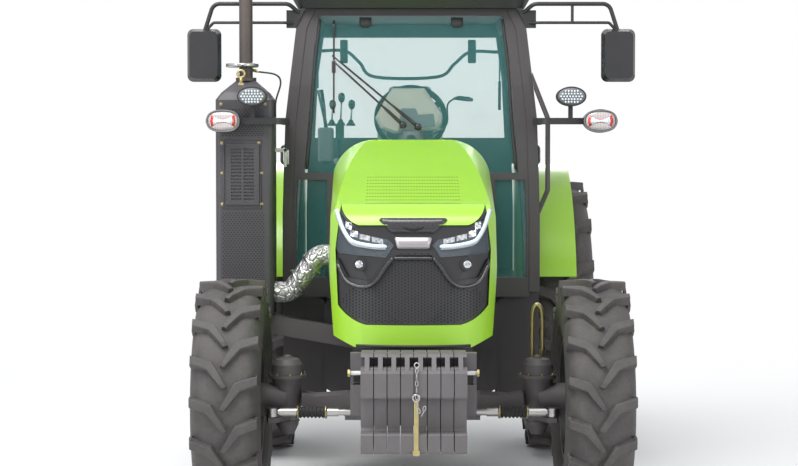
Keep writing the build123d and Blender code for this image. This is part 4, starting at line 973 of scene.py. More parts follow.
class TRACTOR_OT_stage(bpy.types.Operator):
    """Camera, floor, sky and soft lamps"""
    bl_idname = "tractor.stage"
    bl_label = "Stage"

    def lamp(self, name, place, target, size, power):
        data = bpy.data.lights.new(name, "AREA")
        data.shape = "RECTANGLE"
        data.size, data.size_y = size
        data.energy = power
        lamp = bpy.data.objects.new(name, data)
        lamp.location = place
        lamp.rotation_euler = (Vector(target) - Vector(place)).to_track_quat("-Z", "Y").to_euler()
        bpy.context.scene.collection.objects.link(lamp)

    def execute(self, context):
        scene = context.scene
        s = scene.tractor_stage
        camera = bpy.data.objects.new("camera", bpy.data.cameras.new("camera"))
        scene.collection.objects.link(camera)
        camera.data.lens = s.lens
        camera.data.clip_end = 500
        camera.location = (s.camera_side, middle("front_rim_left").y - s.camera_distance, s.camera_height)
        camera.rotation_euler = (math.pi / 2 - s.camera_pitch, 0, 0)
        scene.camera = camera
        scene.view_settings.view_transform = "Standard"

        world = bpy.data.worlds.new("soft_sky")
        world.use_nodes = True
        scene.world = world
        tree = world.node_tree
        tree.nodes.clear()
        path = tree.nodes.new("ShaderNodeLightPath")
        camera_ray, glossy_ray, passing_ray = (Value(tree, path.outputs[f"Is {kind} Ray"])
                                               for kind in ("Camera", "Glossy", "Transmission"))
        seen = camera_ray.math("MAXIMUM", glossy_ray).math("MAXIMUM", passing_ray)
        sky, white = (tree.nodes.new("ShaderNodeBackground") for _ in range(2))
        sky.inputs[0].default_value = (0.93, 0.96, 1.0, 1)
        sky.inputs[1].default_value = s.sky
        white.inputs[0].default_value = (1, 1, 1, 1)
        mix = tree.nodes.new("ShaderNodeMixShader")
        out = tree.nodes.new("ShaderNodeOutputWorld")
        for source, slot in ((seen.socket, mix.inputs[0]), (sky.outputs[0], mix.inputs[1]),
                             (white.outputs[0], mix.inputs[2]), (mix.outputs[0], out.inputs[0])):
            tree.links.new(source, slot)

        half = s.floor_size
        mesh = bpy.data.meshes.new("floor")
        mesh.from_pydata([(-half, -half, 0), (half, -half, 0), (half, half, 0), (-half, half, 0)], [],
                         [(0, 1, 2, 3)])
        floor = bpy.data.objects.new("floor", mesh)
        scene.collection.objects.link(floor)
        mesh.materials.append(pale_floor())

        self.lamp("key", (-2.5, -4.0, 8.5), (0, -0.4, 1.2), (6.0, 5.0), s.key_power)
        self.lamp("fill_left", (6.5, -8.0, 3.0), (0, -0.8, 1.3), (4.0, 4.0), s.fill_power)
        self.lamp("fill_right", (-6.5, -8.0, 3.0), (0, -0.8, 1.3), (4.0, 4.0), s.fill_power)
        self.lamp("rear", (0.0, 8.0, 5.5), (0, 0.8, 1.3), (6.0, 3.0), s.fill_power * 1.4)
        return {"FINISHED"}


@finish
def pale_floor(f, c):
    """Pale floor that takes the shadow near the tractor and fades to white further off."""
    away = f.node("ShaderNodeVectorMath", {"operation": "LENGTH"}, Vector=f.coords)
    fade = f.ramp(Value(f.tree, away.outputs["Value"]), 3.2, 7.5)
    matt = f.node("ShaderNodeBsdfDiffuse", None, Color=(0.86, 0.86, 0.86))
    white = f.node("ShaderNodeEmission", None, Color=(1.0, 1.0, 1.0))
    path = f.node("ShaderNodeLightPath")
    seen = Value(f.tree, path.outputs["Is Camera Ray"]) * fade
    mix = f.node("ShaderNodeMixShader", None, Fac=seen)
    f.tree.links.new(matt.outputs[0], mix.inputs[1])
    f.tree.links.new(white.outputs[0], mix.inputs[2])
    output = f.node("ShaderNodeOutputMaterial")
    f.tree.links.new(mix.outputs[0], output.inputs[0])
    return f.material


# ---- wheels ---------------------------------------------------------------------------------


WHEELS = [(end, word, side) for end in ("front", "rear") for word, side in SIDES]
LUG_WIDTH = {"front": 0.046, "rear": 0.058}
BOLT_CIRCLE = {"front": 0.122, "rear": 0.145}
BOLTS = 8


def wheel_round(across, around, radius, base):
    """Point of a wheel about its own centre: along the axle, along the tread and out from it."""
    turn = around / base
    return Vector((across, -math.cos(turn) * radius, math.sin(turn) * radius))


def lug_form(half, radius, height, wide, way, maker):
    """Drawing of one dog-leg lug, its nose just past the tread's middle and its end on the shoulder."""
    tread = half - 0.008
    base = radius - height
    crown = 0.010  # how far the tread falls from its middle to its edge
    foot = 0.016  # how deep the lug's sides go into the tyre
    knee = 0.42 * tread
    rise = knee + 0.018
    end = rise + 0.34 * (tread - knee)
    h = wide / 2
    upper = [(-0.018, -h * 0.6), (knee - h * 0.5, rise + h), (tread, end + h)]
    lower = [(0.0072, -h), (knee + h * 0.5, rise - h), (tread, end - h)]
    steps = 6

    def between(p, q, share):
        return [a + (b - a) * share for a, b in zip(p, q)]

    def build(shell):
        rings = []
        for leg in (0, 1):
            for k in range(steps + leg):
                a = between(upper[leg], upper[leg + 1], k / steps)
                b = between(lower[leg], lower[leg + 1], k / steps)
                nose = 1.0 if leg or k else 0.82
                top = base + (height - crown * ((a[0] + b[0]) / 2 / tread) ** 2) * nose
                ring = []
                for share, high in ((-0.16, base - foot), (0.0, top - 0.009), (0.05, top - 0.002),
                                    (0.14, top), (0.86, top), (0.95, top - 0.002), (1.0, top - 0.009),
                                    (1.16, base - foot)):
                    across, around = between(a, b, share)
                    ring.append(wheel_round(way * min(across, tread), around - end / 2, high, base))
                rings.append(ring)
        for drop, out in ((0.026, 0.0), (0.062, 0.006), (0.100, 0.004)):
            rings.append([wheel_round(way * (tread + out - sink), end / 2 + h - wide * share,
                                      radius - drop, base)
                          for share, sink in ((-0.10, foot), (0.0, 0.006), (0.05, 0.002), (0.14, 0.0),
                                              (0.86, 0.0), (0.95, 0.002), (1.0, 0.006), (1.10, foot))])
        shell.loft(rings, maker)
    return build


class TRACTOR_OT_tyres(bpy.types.Operator):
    """Four lugged tyres with rounded ground, shoulders and ribbed sidewalls"""
    bl_idname = "tractor.tyres"
    bl_label = "Tyres"

    def execute(self, context):
        sizes = context.scene.tractor_sizes
        for end, word, side in WHEELS:
            lugs = getattr(sizes, f"{end}_lugs")
            height = getattr(sizes, f"{end}_lug_height")
            low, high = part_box(f"{end}_tyre_{word}")
            rim_low, rim_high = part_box(f"{end}_rim_{word}")
            centre = middle(f"{end}_rim_{word}")
            centre.x = (low.x + high.x) / 2
            radius, half = centre.z - max(low.z, 0.0), (high.x - low.x) / 2
            flange = (rim_high.z - rim_low.z) / 2
            bead, base = half - 0.042, radius - height
            widest = base - 0.112
            span = widest - flange
            across = [(half * share, base - drop) for share, drop in
                      ((0.0, -0.001), (0.45, 0.0), (0.62, 0.005), (0.78, 0.018), (0.90, 0.044),
                       (0.965, 0.076), (1.0, 0.112))]
            across += [(half * share, widest - span * down) for share, down in
                       ((0.998, 0.18), (0.985, 0.30), (0.989, 0.33), (0.980, 0.37), (0.950, 0.58),
                        (0.955, 0.61), (0.940, 0.65), (0.880, 0.84))]
            across += [(bead + 0.012, flange + 0.007), (bead + 0.004, flange + 0.003),
                       (bead - 0.004, flange - 0.012)]
            profile = [(-x, r) for x, r in reversed(across)] + across[1:]
            shell = Shell()
            shell.lathe(centre, X, profile + profile[:1], tyre_rubber, 96, True, False)
            for way in (1, -1):
                add_round(shell, lug_form(half, radius - 0.0005, height, LUG_WIDTH[end], way, tyre_rubber),
                          tyre_rubber, centre, X, lugs, 0.0 if way == side else math.pi / lugs)
            shell.piece(f"{end}_tyre_dressed_{word}", f"{end}_wheel_{word}", "tyre_rubber",
                        [f"{end}_tyre_{word}"])
        return {"FINISHED"}


class TRACTOR_OT_wheel_bolts(bpy.types.Operator):
    """Wheel bolts, the plugs outside them and the valves"""
    bl_idname = "tractor.wheel_bolts"
    bl_label = "Wheel bolts"

    def execute(self, context):
        size = context.scene.tractor_sizes.bolt_size
        for end, word, side in WHEELS:
            rim, circle = f"{end}_rim_{word}", BOLT_CIRCLE[end]
            low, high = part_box(rim)
            centre = middle(rim)
            axle = (0, centre.y, centre.z)
            skin = Skin([rim], (-side, 0, 0))
            out = X * side
            place = out * (abs(skin.at(centre.y + circle, centre.z)[0].x) - 0.001)
            shell = Shell()
            add_round(shell, hex_bolt(size / 1.6, 0.020, out, place + Z * circle, bare_steel),
                      bare_steel, axle, X, BOLTS, math.pi / BOLTS)
            add_round(shell, lambda s: s.lathe(place + Z * (circle + 0.115), out,
                                               [(0, 0.016), (0.003, 0.015), (0.0035, 0.010)],
                                               rim_paint, 14), rim_paint, axle, X, BOLTS, 0.0)
            spot = skin.at(centre.y, centre.z + (high.z - low.z) / 2 - 0.060)[0]
            shell.lathe(spot - out * 0.002, out, [(0, 0.010), (0.004, 0.010), (0.006, 0.0045),
                                                 (0.030, 0.0040), (0.031, 0.0055), (0.042, 0.0052),
                                                 (0.043, 0.003)], seal_rubber, 12)
            shell.piece(f"{end}_wheel_bolts_{word}", f"{end}_wheel_{word}", "bare_steel")
        return {"FINISHED"}


# ---- bonnet and mask ------------------------------------------------------------------------


NOSE = ["bonnet_shell", "grille_mask", "headlamps"]
LAMP_STRIP = ((0.378, 1.640), (0.368, 1.606), (0.352, 1.560), (0.330, 1.517), (0.303, 1.486),
              (0.255, 1.470), (0.190, 1.460), (0.128, 1.457))


def tapered(ends, middle_radius, number):
    """Radii of a bar with thin ends."""
    return [ends] + [middle_radius] * (number - 2) + [ends]


class TRACTOR_OT_mask(bpy.types.Operator):
    """Latch panel, silver strip, dotted mesh in painted shade, lamp strips and round lamps of the mask"""
    bl_idname = "tractor.mask"
    bl_label = "Mask"

    def execute(self, context):
        skin = Skin(NOSE)
        trim = Shell()
        strip = [(-0.092, 1.497), (-0.085, 1.503), (0.085, 1.503), (0.092, 1.497), (0.079, 1.452),
                 (0.069, 1.445), (-0.069, 1.445), (-0.079, 1.452)]
        skin.panel(trim, strip, silver_trim, 0.012, 0.012)
        latch = [(-0.168, 1.588), (-0.120, 1.541), (-0.096, 1.522), (0.096, 1.522), (0.120, 1.541),
                 (0.168, 1.588), (0.158, 1.597), (-0.158, 1.597)]
        skin.panel(trim, latch, mask_plastic, 0.007, 0.010)
        # the crescent is a near-black sheet of painted shade standing in for a slot in the latch panel
        crescent = [(-0.060, 1.558), (-0.040, 1.540), (0.0, 1.532), (0.040, 1.540), (0.060, 1.558),
                    (0.036, 1.551), (0.0, 1.547), (-0.036, 1.551)]
        skin.panel(trim, crescent, dark_hole, 0.0085, 0.004)
        for side in (1, -1):
            ridge = smooth_line(skin.line(((0.098, 1.404), (0.135, 1.360), (0.196, 1.278), (0.262, 1.262),
                                           (0.330, 1.290), (0.374, 1.372)), 0.004, side), 8)
            trim.tube(ridge, tapered(0.004, 0.010, len(ridge)), mask_plastic, 10)
        brow = skin.line([(x, 1.3995) for x in (-0.095, -0.05, 0.0, 0.05, 0.095)], 0.003)
        trim.tube(smooth_line(brow, 4), 0.010, mask_plastic, 10)
        trim.piece("mask_trim", "bonnet", "black_plastic")

        field = [(-0.085, 1.425), (0.085, 1.425), (0.094, 1.396), (0.200, 1.262), (0.262, 1.246),
                 (0.318, 1.252), (0.352, 1.190), (0.300, 1.110), (0.215, 1.088), (-0.215, 1.088),
                 (-0.300, 1.110), (-0.352, 1.190), (-0.318, 1.252), (-0.262, 1.246), (-0.200, 1.262),
                 (-0.094, 1.396)]
        # the mask's mesh is drawn as near-black discs of painted shade where its holes would be; no holes
        # are cut
        dots = []
        for row in range(24):
            for col in range(46):
                u, v = -0.36 + col * 0.016, 1.084 + row * 0.015 + (0.0075 if col % 2 else 0.0)
                if inside(field, u, v):
                    dots.append(skin.at(u, v))
        mesh_zone = Shell()
        add_studs(mesh_zone, dots, dark_hole, 0.0050, 0.0014, 6)
        mesh_zone.piece("mask_mesh", "bonnet", "black_plastic")

        for word, side in SIDES:
            lamps = Shell()
            bar = smooth_line(skin.line(LAMP_STRIP, 0.005, side), 6)
            lamps.tube(bar, tapered(0.002, 0.0085, len(bar)), lamp_white, 10, 1.3)
            border = [(x + 0.011, z) if z > 1.5 else (x + 0.0033, z - 0.013) for x, z in LAMP_STRIP]
            edge = smooth_line(skin.line(border, 0.006, side), 6)
            lamps.tube(edge, tapered(0.001, 0.0032, len(edge)), silver_trim, 8)
            for x, z, w, h in ((0.175, 1.487, 0.055, 0.024), (0.238, 1.502, 0.050, 0.026),
                               (0.290, 1.520, 0.036, 0.030), (0.318, 1.560, 0.030, 0.034)):
                tilt = [(side * (x + dx), z + dz + 0.22 * dx) for dx, dz in
                        ((-w / 2, -h / 2), (w / 2, -h / 2), (w / 2, h / 2), (-w / 2, h / 2))]
                skin.panel(lamps, tilt if side > 0 else tilt[::-1], reflector, 0.0025, 0.004, smooth=False)
            spot = Vector((side * 0.265, skin.at(side * 0.265, 1.372)[0].y, 1.372))
            lamps.lathe(spot + Y * 0.006, -Y, [(0, 0.029), (0.010, 0.029), (0.0115, 0.027), (0.009, 0.0245)],
                        mask_plastic, 36)
            lamps.lathe(spot + Y * 0.004, -Y, [(0, 0.0245), (0.004, 0.024), (0.008, 0.019), (0.0095, 0.010),
                                               (0.010, 0.002)], reflector, 36)
            lamps.piece(f"mask_lamps_{word}", "bonnet", "lamp_lens")
        return {"FINISHED"}


class TRACTOR_OT_bonnet_lines(bpy.types.Operator):
    """Rows of fine slits, drawn as near-black discs of painted shade, over the bonnet's nose and the seal
    along its lower edge
    """
    bl_idname = "tractor.bonnet_lines"
    bl_label = "Bonnet lines"

    def execute(self, context):
        skin = Skin(NOSE)
        lines = Shell()
        # slits: near-black discs of painted shade, no cuts
        slits = []
        for row in range(9):
            for col in range(34):
                u, v = -0.231 + col * 0.014, 1.665 + row * 0.0155
                if abs(u) < 0.232 + (v - 1.665) * 0.45:
                    slits.append(skin.at(u, v))
        add_studs(lines, slits, dark_hole, 0.0042, 0.0012, 6)
        lines.piece("bonnet_lines", "bonnet", "black_plastic")
        lip = Shell()
        edge = [(x, 0.972) for x in (-0.280, -0.20, -0.10, 0.0, 0.10, 0.20, 0.280)]
        lip.tube(skin.line(edge, 0.003), 0.0075, seal_rubber, 10)
        lip.piece("bonnet_lip", "bonnet", "black_plastic")
        return {"FINISHED"}


# ---- exhaust column -------------------------------------------------------------------------


class TRACTOR_OT_column(bpy.types.Operator):
    """Perforations drawn as discs of painted shade, bolts, clamp, lifting eye, sensor and its lead on the
    exhaust column
    """
    bl_idname = "tractor.column"
    bl_label = "Exhaust column"

    def execute(self, context):
        skin = Skin(["aftertreatment_box"])
        # perforations: near-black discs of painted shade standing in for the holes; none are cut
        holes = []
        for left, right, low, high in ((-1.050, -0.822, 2.010, 2.160), (-1.050, -0.822, 1.195, 1.590)):
            for row in range(int((high - low) / 0.012) + 1):
                for col in range(int((right - left) / 0.018) + 1):
                    u = left + col * 0.018 + (0.009 if row % 2 else 0)
                    holes.append(skin.at(u, low + row * 0.012))
        shell = Shell()
        add_studs(shell, holes, dark_hole, 0.0038, 0.0012, 6)
        shell.piece("column_perforations", "tractor", "black_paint")

        body = Shell()
        for x, z in ((-1.056, 1.969), (-1.056, 1.802), (-1.056, 1.629), (-0.850, 1.969), (-0.836, 1.802),
                     (-0.836, 1.629), (-1.060, 1.175), (-0.815, 1.175), (-1.060, 2.185), (-0.815, 2.185)):
            hex_bolt(0.0095, 0.006, -Y, skin.at(x, z)[0] + Y * 0.0005, zinc_plate)(body)
        corners = ((-1.046, 1.605), (-0.838, 1.605), (-0.838, 1.985), (-1.046, 1.985))
        body.loop(skin.line(corners, 0.002), 0.004, Y, column_paint)
        eye = Vector((-0.947, -0.615, 2.352))
        body.ring(eye, Y, 0.020, 0.0065, zinc_plate, 28, 10)
        body.tube([eye - Z * 0.022, eye - Z * 0.052], 0.0085, zinc_plate, 12)
        body.lathe((-0.947, -0.615, 2.290), Z, [(0, 0.017), (0.010, 0.017), (0.014, 0.012)], zinc_plate, 6,
                   False)
        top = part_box("aftertreatment_box")[1].z
        low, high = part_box("exhaust_stack")
        outer = (high.x - low.x) / 2
        stack = Vector(((low.x + high.x) / 2, (low.y + high.y) / 2, top))
        body.lathe(stack + Z * 0.076, Z, [(along, outer + out) for along, out in
                                          ((0, 0.001), (0.003, 0.011), (0.008, 0.013), (0.016, 0.013),
                                           (0.021, 0.011), (0.024, 0.001))], bare_steel, 48)
        body.tube([stack + Vector((x, -outer - 0.014, 0.088)) for x in (0.030, -0.022)], 0.0045,
                  bare_steel, 8)
        for x in (0.022, -0.006):
            body.box(stack + Vector((x - 0.006, -outer - 0.020, 0.080)),
                     stack + Vector((x + 0.006, -outer - 0.006, 0.096)), bare_steel, 0.0015)
        tip = stack + Vector((outer * 0.8, -0.012, 0.060))
        body.lathe(tip, (1, -0.15, -0.25), [(-0.01, 0.010), (0.022, 0.010), (0.023, 0.007), (0.034, 0.007)],
                   zinc_plate, 6, False)
        lead = smooth_line([tip + Vector((0.030, -0.006, -0.008)), Vector((-0.762, -0.50, 2.352)),
                            Vector((-0.735, -0.49, 2.306)), Vector((-0.762, -0.49, 2.205)),
                            Vector((-0.764, -0.50, 2.115))], 8)
        body.tube(lead, 0.0052, seal_rubber, 10)
        body.tube([(-0.700, -0.412, 1.850), (-0.700, -0.412, 1.930)], 0.007, white_coat, 10)
        body.box((-0.804, -0.420, 1.918), (-0.706, -0.404, 1.940), white_coat, 0.003)
        body.box((-0.724, -0.420, 1.834), (-0.706, -0.404, 1.940), white_coat, 0.003)
        body.piece("column_fittings", "tractor", "bare_steel")

        pipe = Shell()
        skin = Skin(["exhaust_pipe"])
        for x, drop in ((-0.560, 0.9), (-0.640, 0.5)):
            met = [z / 1000 for z in range(1000, 1500, 4) if skin.cast(x, z / 1000)[0] is not None]
            radius = (met[-1] - met[0]) / 2
            pipe.lathe((x, -0.5, (met[0] + met[-1]) / 2), (-1, 0, -drop),
                       [(-0.009, radius * 0.78), (-0.009, radius * 0.83), (0.009, radius * 0.83),
                        (0.009, radius * 0.78)], bare_steel, 40)
        pipe.piece("pipe_clamps", "tractor", "bare_steel")
        return {"FINISHED"}


# ---- lamps on stalks ------------------------------------------------------------------------


# middles of the lamps: out from the centre line, height
TURN_LAMP = (1.040, 2.090)
WORK_LAMP = (0.880, 2.225)
# coloured insert of a turn lamp, about its middle
BONE = [(-0.060, 0.030), (-0.030, 0.012), (0.0, 0.008), (0.030, 0.012), (0.060, 0.030), (0.066, 0.0),
        (0.060, -0.030), (0.030, -0.012), (0.0, -0.008), (-0.030, -0.012), (-0.060, -0.030), (-0.066, 0.0)]


class TRACTOR_OT_stalk_lamps(bpy.types.Operator):
    """Turn lamps with their coloured inserts and work lamps with rows of diodes"""
    bl_idname = "tractor.stalk_lamps"
    bl_label = "Stalk lamps"

    def execute(self, context):
        skin = Skin(["stalk_lamps"])
        for word, side in SIDES:
            shell = Shell()
            x, z = side * TURN_LAMP[0], TURN_LAMP[1]
            face = skin.at(x, z)[0].y
            for outline, maker, proud, wall in (
                    (rounded(0.092, 0.062, 0.8, 40), grey_plastic, 0.003, 0.006),
                    (rounded(0.080, 0.050, 0.8, 40), clear_lens, 0.0055, 0.003),
                    (placed(BONE, 0, 0, 1.06, 1.12), lamp_red, 0.0070, 0.004),
                    (placed(BONE, 0, 0, 0.82, 0.74), lamp_white, 0.0085, 0.004)):
                skin.panel(shell, placed(outline, x, z), maker, proud, wall, fallback=face)
            bezel = placed(rounded(0.088, 0.058, 0.8, 40), x, z)
            shell.loop([Vector((u, face - 0.004, v)) for u, v in bezel], 0.0045, Y, grey_plastic)
            x, z = side * WORK_LAMP[0], WORK_LAMP[1]
            face = skin.at(x, z)[0].y
            skin.panel(shell, placed(rounded(0.075, 0.046, 1, 32), x, z), grey_plastic, 0.004, 0.006,
                       fallback=face)
            places = [(Vector((x + (c - (n - 1) / 2) * 0.0165, face - 0.005, z + (r - 2) * 0.0150)), -Y)
                      for r, n in enumerate((5, 7, 8, 7, 5)) for c in range(n)]
            add_studs(shell, places, lamp_white, 0.0048, 0.006, 10)
            add_studs(shell, places, silver_trim, 0.0066, 0.003, 10)
            shell.piece(f"stalk_lamp_faces_{word}", "tractor", "lamp_lens")
        return {"FINISHED"}


# ---- front weights --------------------------------------------------------------------------


class TRACTOR_OT_weights(bpy.types.Operator):
    """Locking pin, chain, nubs and clamping rod of the front weights"""
    bl_idname = "tractor.weights"
    bl_label = "Front weights"

    def execute(self, context):
        skin = Skin(["front_weights"])
        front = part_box("front_weights")[0].y
        fittings = Shell()
        gap_x = 0.0105
        fittings.box((gap_x - 0.011, front - 0.006, 0.520), (gap_x + 0.011, front + 0.004, 0.760),
                     zinc_plate, 0.003)
        fittings.box((gap_x - 0.017, front - 0.010, 0.500), (gap_x + 0.017, front + 0.012, 0.526),
                     zinc_plate, 0.003)
        fittings.ring((gap_x, front - 0.004, 0.772), Y, 0.016, 0.004, bare_steel, 24, 8)
        hung = smooth_line([(0.013, front - 0.006, 0.915), (0.013, front - 0.006, 0.840),
                            (0.014, front - 0.006, 0.762), (0.024, front - 0.009, 0.705),
                            (0.040, front - 0.009, 0.697), (0.054, front - 0.008, 0.745)], 5)
        step = 0
        spent = 0.0
        for a, b in zip(hung, hung[1:]):
            spent += (b - a).length
            if spent >= 0.024:
                spent = 0.0
                way = (b - a).normalized()
                side = Y if step % 2 else X
                side = (side - way * side.dot(way)).normalized()
                link = [a + way * u + side * v for u, v in rounded(0.0125, 0.0065, 1, 14)]
                fittings.loop(link, 0.0024, way.cross(side), bare_steel, 6)
                step += 1
        fittings.ring((0.013, front - 0.005, 0.926), Y, 0.011, 0.003, bare_steel, 20, 8)
        for k in range(9):
            place = skin.cast(0.063 * (k - 4), 0.545)[0]
            if place is not None:
                fittings.lathe(place + Y * 0.002, -Y, [(0, 0.011), (0.006, 0.010), (0.009, 0.006)],
                               weight_paint, 14)
        rod = Vector((0, -2.080, 0.855))
        fittings.tube([rod - X * 0.318, rod + X * 0.318], 0.0105, white_coat, 14)
        for side in (1, -1):
            fittings.lathe(rod + X * side * 0.3065, X * side,
                           [(0, 0.019), (0.010, 0.019), (0.012, 0.016)], zinc_plate, 6, False)
        fittings.piece("weight_fittings", "tractor", "bare_steel")
        return {"FINISHED"}


# ---- axle and steering ----------------------------------------------------------------------


KINGPIN_OUT = 0.652  # distance of a kingpin from the centre line


class TRACTOR_OT_axle_fittings(bpy.types.Operator):
    """Kingpin bolts, rod bellows and collars, and the pipe over the left kingpin"""
    bl_idname = "tractor.axle_fittings"
    bl_label = "Axle fittings"

    def execute(self, context):
        for word, side in SIDES:
            kingpin = Vector((side * KINGPIN_OUT, middle(f"front_rim_{word}").y, 0))
            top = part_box(f"front_knuckle_{word}")[1].z
            shell = Shell()
            add_round(shell, hex_bolt(0.0085, 0.009, Z, (0.090, 0, 0.7605), zinc_plate), zinc_plate, kingpin,
                      Z, 8, 0.2)
            shell.lathe(kingpin + Z * (top - 0.004), Z, [(0, 0.026), (0.008, 0.025), (0.014, 0.018),
                                                       (0.017, 0.008)], cast_iron_paint, 20)
            for z, r in ((0.520, 0.061), (0.580, 0.065)):
                shell.ring(kingpin + Z * z, Z, r, 0.0035, cast_iron_paint, 40, 8)
            shell.piece(f"knuckle_bolts_{word}", f"knuckle_{word}", "cast_grey")
        rod = Shell()
        line = middle("steering_rod")
        line.x = 0
        waves = [(0.440 + 0.155 * k / 32, 0.0280 + 0.0045 * math.cos(k / 2 * math.pi)) for k in range(33)]
        for side in (1, -1):
            out = X * side
            rod.lathe(line, out, [(0.440, 0.0225)] + waves + [(0.595, 0.0225)], seal_rubber, 28)
            for x in (0.446, 0.590):
                rod.lathe(line + out * x, out, [(-0.005, 0.0245), (-0.005, 0.0330), (0.005, 0.0330),
                                                (0.005, 0.0245)], zinc_plate, 28)
            rod.lathe(line + out * 0.650, out, [(-0.016, 0.0225), (0.016, 0.0225)], zinc_plate, 6, False)
        rod.piece("steering_bellows", "steer_rod", "black_plastic")
        pipe = Shell()
        y = middle("front_rim_left").y + 0.090
        path = smooth_line([(0.632, y, 0.800), (0.630, y, 0.960), (0.634, y, 1.080), (0.656, y, 1.118),
                            (0.680, y, 1.082), (0.684, y, 0.960), (0.684, y, 0.860)], 8)
        pipe.tube(path, 0.0125, zinc_plate, 14)
        for p in ((0.632, y, 0.810), (0.684, y, 0.866)):
            pipe.lathe(p, Z, [(-0.014, 0.019), (0.014, 0.019)], zinc_plate, 6, False)
        pipe.box((0.610, y - 0.012, 0.770), (0.700, y + 0.012, 0.800), cast_iron_paint, 0.004)
        pipe.piece("kingpin_pipe", "knuckle_left", "bare_steel")
        return {"FINISHED"}


# ---- cab ------------------------------------------------------------------------------------


class TRACTOR_OT_glass_trim(bpy.types.Operator):
    """Seals round the windscreen, its corner tabs and the two wiper arms"""
    bl_idname = "tractor.glass_trim"
    bl_label = "Glass trim"

    def execute(self, context):
        glass = Skin(["front_glass"])
        radius = context.scene.tractor_sizes.seal_radius
        seal = Shell()
        for side in (1, -1):
            edge = [(x * 0.988, z) for x, z in ((0.606, 1.820), (0.590, 2.000), (0.578, 2.150),
                                                (0.560, 2.420), (0.530, 2.680))]
            seal.tube(smooth_line(glass.line(edge, 0.002, side), 4), radius, seal_rubber, 10)
            tab = [(side * x, z) for x, z in ((0.228, 2.690), (0.228, 2.650), (0.240, 2.632), (0.285, 2.632),
                                              (0.297, 2.650), (0.297, 2.690))]
            glass.panel(seal, tab if side > 0 else tab[::-1], seal_rubber, 0.006, 0.006)
        seal.piece("windscreen_seals", "tractor", "black_plastic")

        wipers = Shell()
        for pivot, head, blade in (((-0.047, 2.073), (-0.442, 2.434), ((-0.443, 2.140), (-0.443, 2.672))),
                                   ((0.039, 2.062), (-0.452, 2.470), None)):
            path = [glass.at(pivot[0] + (head[0] - pivot[0]) * t, pivot[1] + (head[1] - pivot[1]) * t)[0]
                    - Y * (0.026 + 0.012 * math.sin(math.pi * t)) for t in (k / 10 for k in range(11))]
            wipers.tube(path, [0.0115, 0.011, 0.010] + [0.006] * 6 + [0.0055, 0.005], gloss_plastic, 10)
            wipers.lathe(path[0] + Y * 0.024, -Y, [(0, 0.021), (0.020, 0.021), (0.034, 0.016),
                                                   (0.038, 0.010)], gloss_plastic, 20)
            if blade:
                (x0, z0), (x1, z1) = blade
                rail = glass.line([(x0 + (x1 - x0) * k / 12, z0 + (z1 - z0) * k / 12) for k in range(13)],
                                  0.016)
                wipers.tube(rail, 0.0055, gloss_plastic, 8)
                wipers.tube([p + Y * 0.009 for p in rail], 0.0040, seal_rubber, 6)
                wipers.box(rail[6] - Vector((0.012, 0.014, 0.035)), rail[6] + Vector((0.012, 0.004, 0.035)),
                           gloss_plastic, 0.004)
        wipers.piece("wipers", "tractor", "black_plastic")
        return {"FINISHED"}


MIRROR_AT = (1.1825, -0.2905, 2.470)  # middle of the left mirror's rear face


class TRACTOR_OT_mirror_faces(bpy.types.Operator):
    """Mirror glasses with their rims, seen from the driver's side"""
    bl_idname = "tractor.mirror_faces"
    bl_label = "Mirror faces"

    def execute(self, context):
        for word, side in SIDES:
            shell = Shell()
            x, y, z = side * MIRROR_AT[0], MIRROR_AT[1], MIRROR_AT[2]
            outline = rounded(0.080, 0.132, 0.45, 48)
            rings = [[Vector((x + u * k, y + d, z + v * k)) for u, v in outline]
                     for d, k in ((-0.001, 1.0), (0.003, 1.0), (0.0035, 0.97))]
            shell.loft(rings, black_plastic)
            domed = [[Vector((x + u * k, y + 0.0038 + 0.004 * (1 - k * k), z + v * k)) for u, v in outline]
                     for k in (0.93, 0.75, 0.5, 0.25, 0.06)]
            shell.loft([[p - Y * 0.003 for p in domed[0]]] + domed, mirror_glass, smooth=True)
            shell.piece(f"mirror_glass_{word}", "tractor", "black_plastic")
        return {"FINISHED"}


